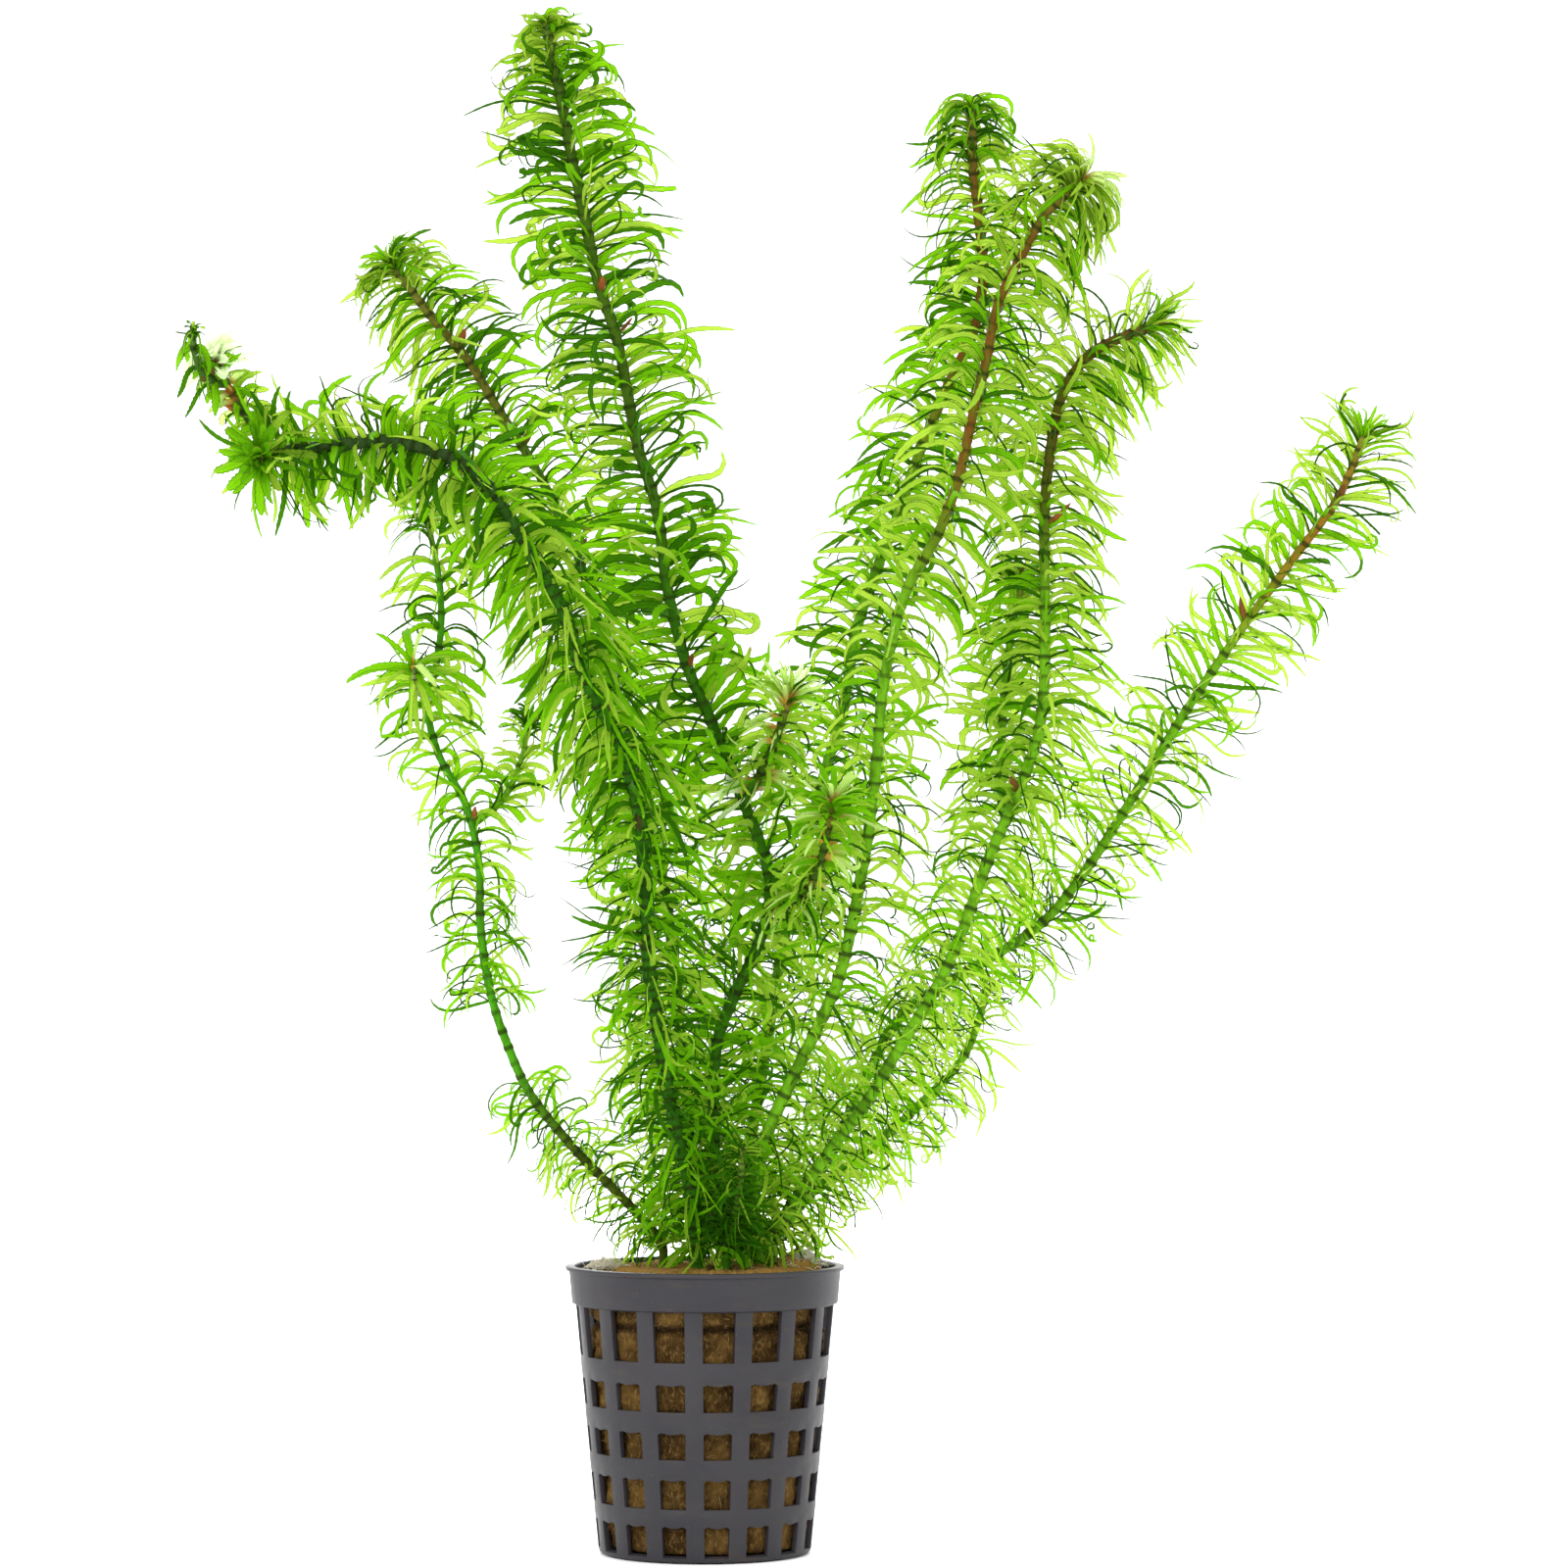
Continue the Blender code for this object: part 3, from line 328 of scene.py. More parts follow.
SHOOTS = [
    Shoot(
        "shoot_tall",
        [(3.2, -1.5, 58), (2, -2.5, 69.5), (2, -4, 95.5), (5.5, -5, 107), (10, -6, 116.5),
         (12.5, -7, 126), (11.5, -8, 134.5), (7, -9.5, 146), (1, -12, 161), (-3.5, -13, 171.5),
         (-7, -14, 185.5), (-9, -14, 200.5), (-13, -13, 214), (-16.5, -12, 232.5),
         (-20.5, -11, 245), (-23, -9, 257), (-26, -8, 271), (-28.5, -7, 284.5), (-31, -6, 296)],
        stem=1.1, slimming=0.08, leaf=18, width=1.75, spread=68, curl=26, droop=0.15, spacing=2.5,
        hooks=115.0, rising_hooks=0.3,
        upper_width=0.75,
        young=18, tip_leaf=0.36, tip_spread=55, tip_curl=100, tip_spacing=0.75,
        crown=20, crown_leaf=4.5, crown_spread=60, crown_tone="grass_blade",
        tones=MIXED, stem_low=GREEN_STEM, stem_top=(0.045, 0.095, 0.006),
    ),
    Shoot(
        "shoot_arching",
        [(-1.3, -6.2, 58), (-2.5, -9, 70), (-6, -12, 84.5), (-8.5, -15, 99.5), (-10.5, -18, 113.5),
         (-11, -21, 128.5), (-12.5, -25, 144), (-16, -28, 156), (-22, -32, 167.5), (-26, -36, 180),
         (-31.5, -39, 190), (-37, -41, 199), (-43, -43, 206), (-51, -44, 210), (-60, -44, 211.5),
         (-69, -44.5, 210.5), (-76, -45.8, 209.5), (-80, -48.4, 208.5), (-81.5, -52.8, 207.5)],
        stem=1.25, slimming=0.0, leaf=17, width=1.5, spread=76, curl=24, droop=0.32, spacing=1.55,
        pressed=0.15, hooks=30.0,
        upper_leaf=0.85, upper_width=0.85, ruffle=18.0, hanging=(132, 154, 188, 204),
        young=10, tip_leaf=0.95, tip_spread=84, tip_curl=30, tip_spacing=2.0,
        crown=44, crown_leaf=10.5, crown_spread=88, crown_width=1.25, crown_inner=0.88,
        crown_tone="grass_blade",
        tones=MIXED, stem_low=(0.026, 0.120, 0.005), stem_top=(0.030, 0.060, 0.016), turns_at=0.74,
    ),
    Shoot(
        "shoot_back_left",
        [(-1.8, 3.2, 58), (-2.5, 6, 72), (-4.5, 12, 93), (-6.5, 19, 114), (-9, 25, 131.5),
         (-14, 31, 153), (-19, 35, 170.5), (-24, 39, 188.5), (-29, 41, 201.5), (-35.5, 42, 214),
         (-42.5, 42, 225), (-48, 41, 234), (-55.5, 40, 243), (-64, 38, 254)],
        stem=1.0, slimming=0.15, leaf=16, width=1.3, spread=66, curl=36, droop=0.3, spacing=2.8,
        young=24, tip_leaf=0.75, tip_spread=52, tip_curl=62, tip_spacing=0.9,
        crown=50, crown_leaf=9.5, crown_spread=70, crown_tone="grass_blade",
        tones=MIXED, stem_low=GREEN_STEM, stem_top=(0.130, 0.110, 0.016), turns_at=0.8,
    ),
    Shoot(
        "shoot_low_left",
        [(-8, -1.2, 58), (-11, -0.5, 63), (-18.5, -3, 71), (-26.5, -5, 79.5), (-33.5, -6, 88.5),
         (-37.5, -7, 97), (-41, -8, 107.5), (-43, -8, 120), (-43.5, -7, 133), (-46, -5, 144),
         (-51.5, -2, 154), (-54, 0, 164), (-52.5, 2, 170.5), (-51.5, 4, 179), (-52, 6, 188.5),
         (-54.5, 9, 200.5)],
        stem=0.85, leaf=13, width=1.2, spread=62, curl=45, droop=0.5, spacing=3.3, thinning=-0.6,
        hooks=70.0,
        bare=(91.0, 105.0),
        tip_leaf=0.8, tip_spacing=2.6,
        tones=MIXED, stem_low=(0.055, 0.085, 0.006), stem_top=(0.050, 0.240, 0.006), turns_at=0.3,
    ),
    Shoot(
        "shoot_back_centre",
        [(4.2, 6, 58), (7.5, 9, 72), (10.5, 13, 89), (13.5, 18, 108), (17.5, 23, 128.5),
         (22.5, 27, 148), (27, 30, 163.5), (29.5, 31, 178.5), (33.5, 32, 191), (38, 33, 202.5),
         (42.5, 34, 215.5), (48, 34, 228.5), (53, 33, 239), (55, 31, 249.5), (54.5, 29, 259),
         (53, 27, 272), (52.5, 26, 284)],
        stem=1.1, slimming=0.08, leaf=16, width=1.25, spread=66, curl=45, droop=0.4, spacing=2.8,
        hooks=75.0,
        young=30, tip_leaf=0.78, tip_spread=52, tip_curl=105, tip_spacing=0.8,
        crown=36, crown_leaf=8.5, crown_spread=58, crown_tone="grass_blade",
        tones=MIXED, stem_low=BRIGHT_STEM, stem_top=(0.150, 0.036, 0.010), turns_at=0.72,
    ),
    Shoot(
        "shoot_centre_right",
        [(7.6, -4.2, 58), (10, -5, 71.5), (12.5, -6, 82), (22.5, -8, 103), (26, -9, 111.5),
         (29, -10, 124.5), (31.5, -10, 139), (33, -11, 152), (34.5, -12, 168), (38.5, -14, 184.5),
         (44.5, -15, 195.5), (48.5, -15, 206), (51.5, -13, 219), (54, -11, 229), (56.5, -8, 240.5),
         (61, -6, 250), (66, -6, 258.5), (73, -8, 264.5)],
        stem=1.15, leaf=16.5, width=1.3, spread=64, curl=36, droop=0.5, spacing=3.4, hooks=62.0,
        young=26, tip_leaf=0.9, tip_spread=58, tip_curl=80, tip_spacing=1.0,
        crown=84, crown_leaf=14.5, crown_spread=84, crown_width=0.75, crown_depth=4.0,
        crown_tone="lime_blade", crown_heart="fan_blade",
        tones=BRIGHT, stem_low=BRIGHT_STEM, stem_top=RED_STEM, turns_at=0.66,
    ),
    Shoot(
        "shoot_right",
        [(10.6, 0.4, 58), (15.5, -1, 65), (24, -4, 77.5), (30.5, -6, 86), (36, -8, 95),
         (44.5, -8, 109), (49, -8, 118.5), (55, -7, 134.5), (61, -5, 148), (65, -2, 160.5),
         (66, 1, 177), (66, 4, 198), (67, 6, 211.5), (69.5, 8, 224), (74, 9, 231.5),
         (80, 10, 235.5), (89.5, 12, 239)],
        stem=1.1, slimming=0.15, leaf=16, width=1.15, spread=68, curl=28, droop=0.45, spacing=2.25,
        young=14, tip_leaf=0.7, tip_spread=40, tip_curl=8, tip_spacing=1.1,
        crown=40, crown_leaf=10.5, crown_spread=62, crown_width=0.6, crown_depth=5.0,
        crown_tone="grass_blade", crown_heart="fan_blade",
        tones=BRIGHT, stem_low=BRIGHT_STEM, stem_top=(0.085, 0.038, 0.008), turns_at=0.74,
    ),
    Shoot(
        "shoot_far_right",
        [(12.4, 5.6, 58), (18, 8.5, 66), (25.5, 14, 78), (31.5, 18, 91), (39.5, 21, 104),
         (52, 23, 112), (65.5, 24, 120.5), (75, 25, 131.5), (86, 27, 148.5), (95, 28, 163),
         (106.5, 27, 180), (117.5, 25, 195), (124.5, 23, 204.5), (128, 22, 212), (130, 20, 218)],
        stem=1.05, leaf=16, width=1.08, spread=62, curl=16, droop=0.15, spacing=3.0, hooks=75.0,
        rising_hooks=0.45,
        tip_leaf=0.85, tip_spread=42, tip_curl=30, tip_spacing=1.4,
        crown=22, crown_leaf=9.0, crown_spread=48, crown_tone="grass_blade",
        tones={"lime_blade": 0.52, "grass_blade": 0.34, "deep_blade": 0.14}, stem_low=BRIGHT_STEM,
        stem_top=(0.240, 0.110, 0.012), turns_at=0.80,
    ),
    Shoot(
        "shoot_low_right",
        [(9.4, 10.8, 58), (14.5, 15, 63), (22, 19.5, 69), (31, 25, 75.5), (38.5, 30, 81.5),
         (44.5, 34, 87), (50, 37, 92.5), (53.5, 39, 99), (56.5, 41, 109)],
        stem=1.0, leaf=15, width=1.3, spread=58, curl=40, droop=0.4, spacing=3.8, hooks=60.0,
        tones=BRIGHT, stem_low=BRIGHT_STEM, stem_top=BRIGHT_STEM,
    ),
    Shoot(
        "shoot_short_front",
        [(4.2, -9, 58), (6, -12, 65), (7, -16, 73), (7.5, -19, 79)],
        stem=0.95, leaf=9.5, width=1.3, spread=52, curl=40, droop=0.3, spacing=0.85, hooks=60.0,
        tip_spacing=0.8,
        crown=8,
        tones={"deep_blade": 1.0}, stem_low=GREEN_STEM, stem_top=GREEN_STEM,
    ),
    Shoot(
        "sideshoot_tall_front",
        [(13.4, -8.2, 124.4), (18.5, -16, 126.5), (21.5, -22, 131.5), (23, -26, 136.5),
         (24.5, -29, 144.5)],
        **TALL_FORK,
        tip_curl=18,
        crown=40, crown_leaf=11.5, crown_spread=82, crown_width=1.15, crown_tone="grass_blade",
        crown_heart="fan_blade",
        stem_top=(0.140, 0.060, 0.010),
        joined_at=(12.3, -6.8, 124.6),
    ),
    Shoot(
        "sideshoot_tall_upper",
        [(8.3, -10.8, 145.7), (11, -17, 150.5), (13, -21, 154.5), (14.8, -23.5, 159.5),
         (16.5, -25, 165.5)],
        **TALL_FORK,
        pale_foot=5.0,
        tip_curl=6,
        crown=38, crown_leaf=9, crown_spread=50, crown_width=0.95, crown_tone="fan_blade",
        crown_heart="pale_blade",
        stem_top=(0.160, 0.070, 0.012),
        joined_at=(7.3, -9.4, 145.3),
    ),
    Shoot(
        "sideshoot_arching_tip",
        [(-81, -47.3, 210.1), (-84.5, -46.8, 216), (-87.6, -48.8, 221), (-90, -51.5, 226.2)],
        stem=0.85, leaf=5.5, width=1.5, spread=60, curl=30, droop=0.3, spacing=2.2,
        young=1.2, tip_leaf=1.0, tip_spread=70, tip_spacing=2.0,
        crown=40, crown_leaf=7.2, crown_spread=74, crown_width=1.4, crown_depth=2.4,
        crown_tone="pale_blade",
        tones=TENDER, stem_low=(0.045, 0.100, 0.020), stem_top=(0.330, 0.110, 0.020), turns_at=0.6,
        joined_at=(-80.3, -48, 208.5),
    ),
    Shoot(
        "sideshoot_arching_bud",
        [(-88.7, -50.5, 221.4), (-92, -53, 223.5), (-93.4, -55, 227.5), (-93.5, -56, 231.5)],
        stem=0.75, leaf=7, width=1.3, spread=80, curl=30, droop=1.0, spacing=4.8,
        young=3, tip_leaf=1.0, tip_spread=80, tip_spacing=3.0,
        crown=14, crown_leaf=3.6, crown_spread=26,
        tones=SHADED, stem_low=(0.045, 0.100, 0.015), stem_top=(0.060, 0.130, 0.020), turns_at=0.4,
        joined_at=(-87.9, -49.6, 222.2),
    ),
    Shoot(
        "sideshoot_low_left_fork",
        [(-43.9, -4.8, 141.1), (-40, -1, 144.5), (-37.5, 1.5, 148.5), (-35.5, 5, 154.5),
         (-34.5, 8, 161)],
        stem=0.7, leaf=9, width=1.3, spread=50, curl=40, droop=0.3,
        tip_leaf=0.7,
        tones=BRIGHT, stem_low=BRIGHT_STEM, stem_top=BRIGHT_STEM,
        joined_at=(-45, -5.7, 140.8),
    ),
    Shoot(
        "sideshoot_low_left_front",
        [(-54.1, -1.2, 164.8), (-55, -9, 166.5), (-55.3, -14, 168), (-55.5, -18, 170.5)],
        stem=0.75, leaf=12, width=1.5, spread=72, curl=30, droop=0.45, spacing=6.0,
        young=4, tip_leaf=1.0, tip_spread=75, tip_curl=75, tip_spacing=3.0,
        crown=12, crown_leaf=14, crown_spread=70, crown_width=1.0, crown_tone="grass_blade",
        crown_heart="fan_blade",
        tones=BRIGHT, stem_low=(0.150, 0.200, 0.060), stem_top=(0.300, 0.300, 0.150), turns_at=0.3,
        joined_at=(-54, 0.1, 164.4),
    ),
    Shoot(
        "sideshoot_right_back",
        [(57.7, -4.0, 142.9), (57.4, 1.5, 149), (58, 9, 159.5), (59, 15, 170), (60.5, 19.5, 180),
         (63, 23, 190.5)],
        stem=0.9, leaf=13, width=1.6, spread=54, curl=50, droop=0.35,
        tip_leaf=0.6,
        tones=BRIGHT, stem_low=BRIGHT_STEM, stem_top=(0.240, 0.100, 0.030), turns_at=0.9,
        joined_at=(58.7, -5.9, 142.8),
    ),
]

# Stems, in millimetres and shares
STEM_FOOT = 42.0  # height of the hidden foot of the stems in the wool
LOWEST_LEAVES = 58.6  # height above which the long shoots have leaves
SIDE_SHOOT_BARE = 3.0  # length of a side shoot's foot without leaves
ROUTE_STEPS = 12  # points of the smooth curve for each stretch of a route
STEM_STEP = 0.55  # between the rings of a stem
STEM_SIDES = 12
STEM_ROUGHNESS = 0.03
NODE_SWELL = 0.28  # how much thicker the stem is at a strong node
NODE_HALF_HEIGHT = 0.6
STRONG_NODES = 2  # one node in so many is dark and thick
YOUNG_SLIMMING = 0.22  # how much thinner the stem is in its young growth
ROUNDED_END = 1.2

# Leaves, in millimetres and shares unless their line says otherwise
WHORL_LEAVES = 6
BLADE_ROWS = 19  # corners along a blade, two for each tooth
GOLDEN_ANGLE = math.radians(137.5)
MEAN_SPACING = 0.925  # of the whorls half-way up, as a share of a shoot's spacing
WHORL_JITTER = (0.85, 1.15)  # least and most of the mean distance to the next whorl
BROKEN_SHARE = 0.12
BROKEN_LENGTH = (0.5, 0.9)  # share of a broken leaf that is left
MISSING_SHARE = 0.06
# Rolled leaves are narrow and drawn dark: painted shade for the darker look of rolled and edge-on
# blades
ROLLED_SHARE = 0.20  # narrow dark leaves with rolled margins
ROLLED_NARROWING = 0.36  # width of a rolled leaf as a share of its flat width
ROLLED_WIDTH = 0.52  # the least that it measures across
PALE_WIDENING = 1.8
YOUNG_NARROWING = 0.35
HANGING_DROOP = 0.52
HANGING_NARROWING = 0.3
TWIST = (30.0, 95.0)  # degrees that the blades are turned about their midribs
TAPER = (3.2, 8.0)  # low for a long point, high for a blunt one
CROWN_TAPER = 4.0  # more for the leaves of the crown
FOLD = (0.15, 0.60)  # depth of the channel as a share of half the width
FOLD_NARROWING = 0.6  # how much the square of that depth takes off the width
WAVINESS = math.radians(9)
WAVES = 7.0  # radians of the wave along a leaf
HOOK_STARTS = 0.48  # place along a leaf
SAG = 1.4  # how strongly a leaf's droop bends it down
TOOTH_DEPTH = 0.13
TOOTH_RAKE = 0.22  # how far the teeth point forward, as a share of their length
NARROW_FOOT = 0.2  # how much narrower a leaf is at its foot
POINT_WIDTH = 0.02  # width that is left at its point
BLADE_ROOM = 1.0  # left between a leaf's midrib and the margin of the model's box
LEAST_LEAF = 0.3  # share of its length that a leaf keeps there

# How much the leaves of a shoot differ: degrees for the angles, shares for the rest
ANGLE_DISORDER = 11
SPREAD_DISORDER = 10.0
CURL_DISORDER = 26.0
TWIST_DISORDER = 30.0
PLACE_DISORDER = 0.18  # in millimetres along the stem
LENGTH_DISORDER = 0.10
WIDTH_DISORDER = 0.12
DROOP_DISORDER = 0.35
SWAY_DISORDER = 0.32

# Towards the foot the leaves of the long shoots grow finer, closer and more tangled: the
# heights between which that comes in, in millimetres, and what it adds or takes away
TANGLE_TOP = 205.0
TANGLE_BOTTOM = 85.0
TANGLE_CLOSENESS = 0.42
TANGLE_NARROWING = 0.45
TANGLE_ROLLED_NARROWING = 0.35
TANGLE_SHORTENING = 0.12
TANGLE_ROLLED_SHARE = 0.10
TANGLE_RISING_HOOKS = 0.2
TANGLE_HOOKS = 65.0
TANGLE_SPREAD = 8.0
TANGLE_SPREAD_DISORDER = 12.0
TANGLE_CURL_DISORDER = 38.0
TANGLE_SWAY_DISORDER = 0.12

# How much tidier the leaves of the crown are than the others
CROWN_CALM = {"spread": 0.5, "curl": 0.8, "hook": 0.75, "droop": 0.5, "sway": 0.6, "twist": 0.6}
CROWN_INNER_SPREAD = 0.85  # how much steeper its innermost leaves stand

# Which leaves have a finish of their own
YOUNG_TONE_SHARE = 0.4  # of the last leaves below the tip
CROWN_TONE_SHARE = 0.85
HEART_STARTS = 0.82  # place in the crown, from 0 outside to 1 in the middle


def smooth_route(shoot):
    """Points of a smooth curve through the route, in millimetres."""
    points = [np.array(point, dtype=float) for point in shoot.route]
    before = 2 * points[0] - points[1]
    if not shoot.joined_at:
        before = points[0] + DOWN * np.linalg.norm(points[1] - points[0])
    padded = [before, *points, 2 * points[-1] - points[-2]]
    curve = []
    for a, b, c, d in zip(padded, padded[1:], padded[2:], padded[3:]):
        for step in range(ROUTE_STEPS):
            t = step / ROUTE_STEPS
            curve.append(0.5 * (2 * b + (c - a) * t + (2 * a - 5 * b + 4 * c - d) * t ** 2
                                + (3 * b - a - 3 * c + d) * t ** 3))
    curve.append(points[-1])
    foot = np.array(shoot.joined_at) if shoot.joined_at else points[0] * (1, 1, 0) + UP * STEM_FOOT
    return np.array([foot, *curve])


class Path:
    """A curve with its length and with directions that turn as little as it allows."""

    def __init__(self, points):
        self.points = points
        steps = np.diff(points, axis=0)
        self.walked = np.concatenate([[0.0], np.cumsum(np.linalg.norm(steps, axis=1))])
        self.length = self.walked[-1]
        self.along = unit(np.vstack([steps[:1], steps[:-1] + steps[1:], steps[-1:]]))
        side = unit(np.array((1.0, 0.0, 0.0)) - self.along[0] * self.along[0][0])
        self.side = []
        for along in self.along:
            side = unit(side - along * side.dot(along))
            self.side.append(side)
        self.side = np.array(self.side)

    def at(self, places):
        """Centres and directions along and across the stem, at distances from its foot."""
        centre = np.stack([np.interp(places, self.walked, self.points[:, k]) for k in range(3)], -1)
        along = np.stack([np.interp(places, self.walked, self.along[:, k]) for k in range(3)], -1)
        side = np.stack([np.interp(places, self.walked, self.side[:, k]) for k in range(3)], -1)
        along = unit(along)
        side = unit(side - along * np.sum(side * along, axis=-1, keepdims=True))
        return centre, along, side, np.cross(along, side)


def tangled(height):
    """How tangled the leaves at a height are, from 0 to 1."""
    return 1.0 - rise(height, TANGLE_BOTTOM, TANGLE_TOP)


def whorl_places(shoot, path, rng):
    """Distances of the whorls from the foot, closer together over the young stretch."""
    bare = SIDE_SHOOT_BARE if shoot.joined_at else LOWEST_LEAVES - STEM_FOOT
    places = []
    place = path.length - 0.3 * shoot.tip_spacing
    while place > bare:
        places.append(place)
        youth = max(0.0, 1.0 - (path.length - place) / shoot.young)
        height = np.interp(place, path.walked, path.points[:, 2])
        spacing = shoot.spacing * (MEAN_SPACING + shoot.thinning * (0.5 - place / path.length))
        spacing *= 1.0 - TANGLE_CLOSENESS * tangled(height)
        gap = spacing + (shoot.tip_spacing - spacing) * youth
        place -= gap * rng.uniform(*WHORL_JITTER)
    return np.array(places[::-1])


def stem_mesh(shoot, path, whorls, rng):
    """Corners, faces and marks of a stem that swells at each whorl."""
    rings = int(path.length / STEM_STEP)
    places = np.linspace(0.0, path.length, rings)
    centre, _, side, across = path.at(places)
    gaps = np.abs(places[:, None] - whorls[None, :])
    count = len(whorls)
    strong = rng.uniform(0.55, 1.0, count)
    faint = rng.uniform(0.0, 0.25, count)
    strength = np.where(np.arange(count) % STRONG_NODES == 0, strong, faint)
    node = strength[np.argmin(gaps, axis=1)] * np.exp(-(gaps.min(axis=1) / NODE_HALF_HEIGHT) ** 2)
    youth = np.clip(1.0 - (path.length - places) / shoot.young, 0.0, 1.0)
    slim = 1.0 + shoot.slimming * (0.25 - places / path.length)
    radius = shoot.stem * slim * (1.0 - YOUNG_SLIMMING * youth ** 2) * (1.0 + NODE_SWELL * node)
    radius *= np.sqrt(np.clip((path.length - places) / ROUNDED_END, 0.02, 1.0))
    angles = np.arange(STEM_SIDES) * math.tau / STEM_SIDES
    ridges = 1.0 + STEM_ROUGHNESS * rng.standard_normal((rings, STEM_SIDES))
    reach = radius[:, None] * ridges
    ring = side[:, None] * np.cos(angles)[None, :, None]
    ring = ring + across[:, None] * np.sin(angles)[None, :, None]
    points = centre[:, None] + ring * reach[..., None]
    marks = np.ones((rings, STEM_SIDES, 4))
    marks[..., 0] = (places / path.length)[:, None]
    marks[..., 1] = node[:, None]
    marks[..., 2] = rng.uniform(size=(rings, 1))
    marks[..., 3] = youth[:, None]
    return points.reshape(-1, 3), tube_faces(rings, STEM_SIDES), marks.reshape(-1, 4)


@dataclass
class Blades:
    """The feet, directions and habits of all leaves of a shoot, as arrays."""

    foot: np.ndarray
    along: np.ndarray  # the stem's direction at the foot
    outward: np.ndarray
    length: np.ndarray
    cut: np.ndarray  # share of a broken leaf that is left
    width: np.ndarray
    taper: np.ndarray
    spread: np.ndarray
    curl: np.ndarray
    hook: np.ndarray
    droop: np.ndarray
    sway: np.ndarray
    wave: np.ndarray
    twist: np.ndarray
    fold: np.ndarray
    youth: np.ndarray
    slot: np.ndarray


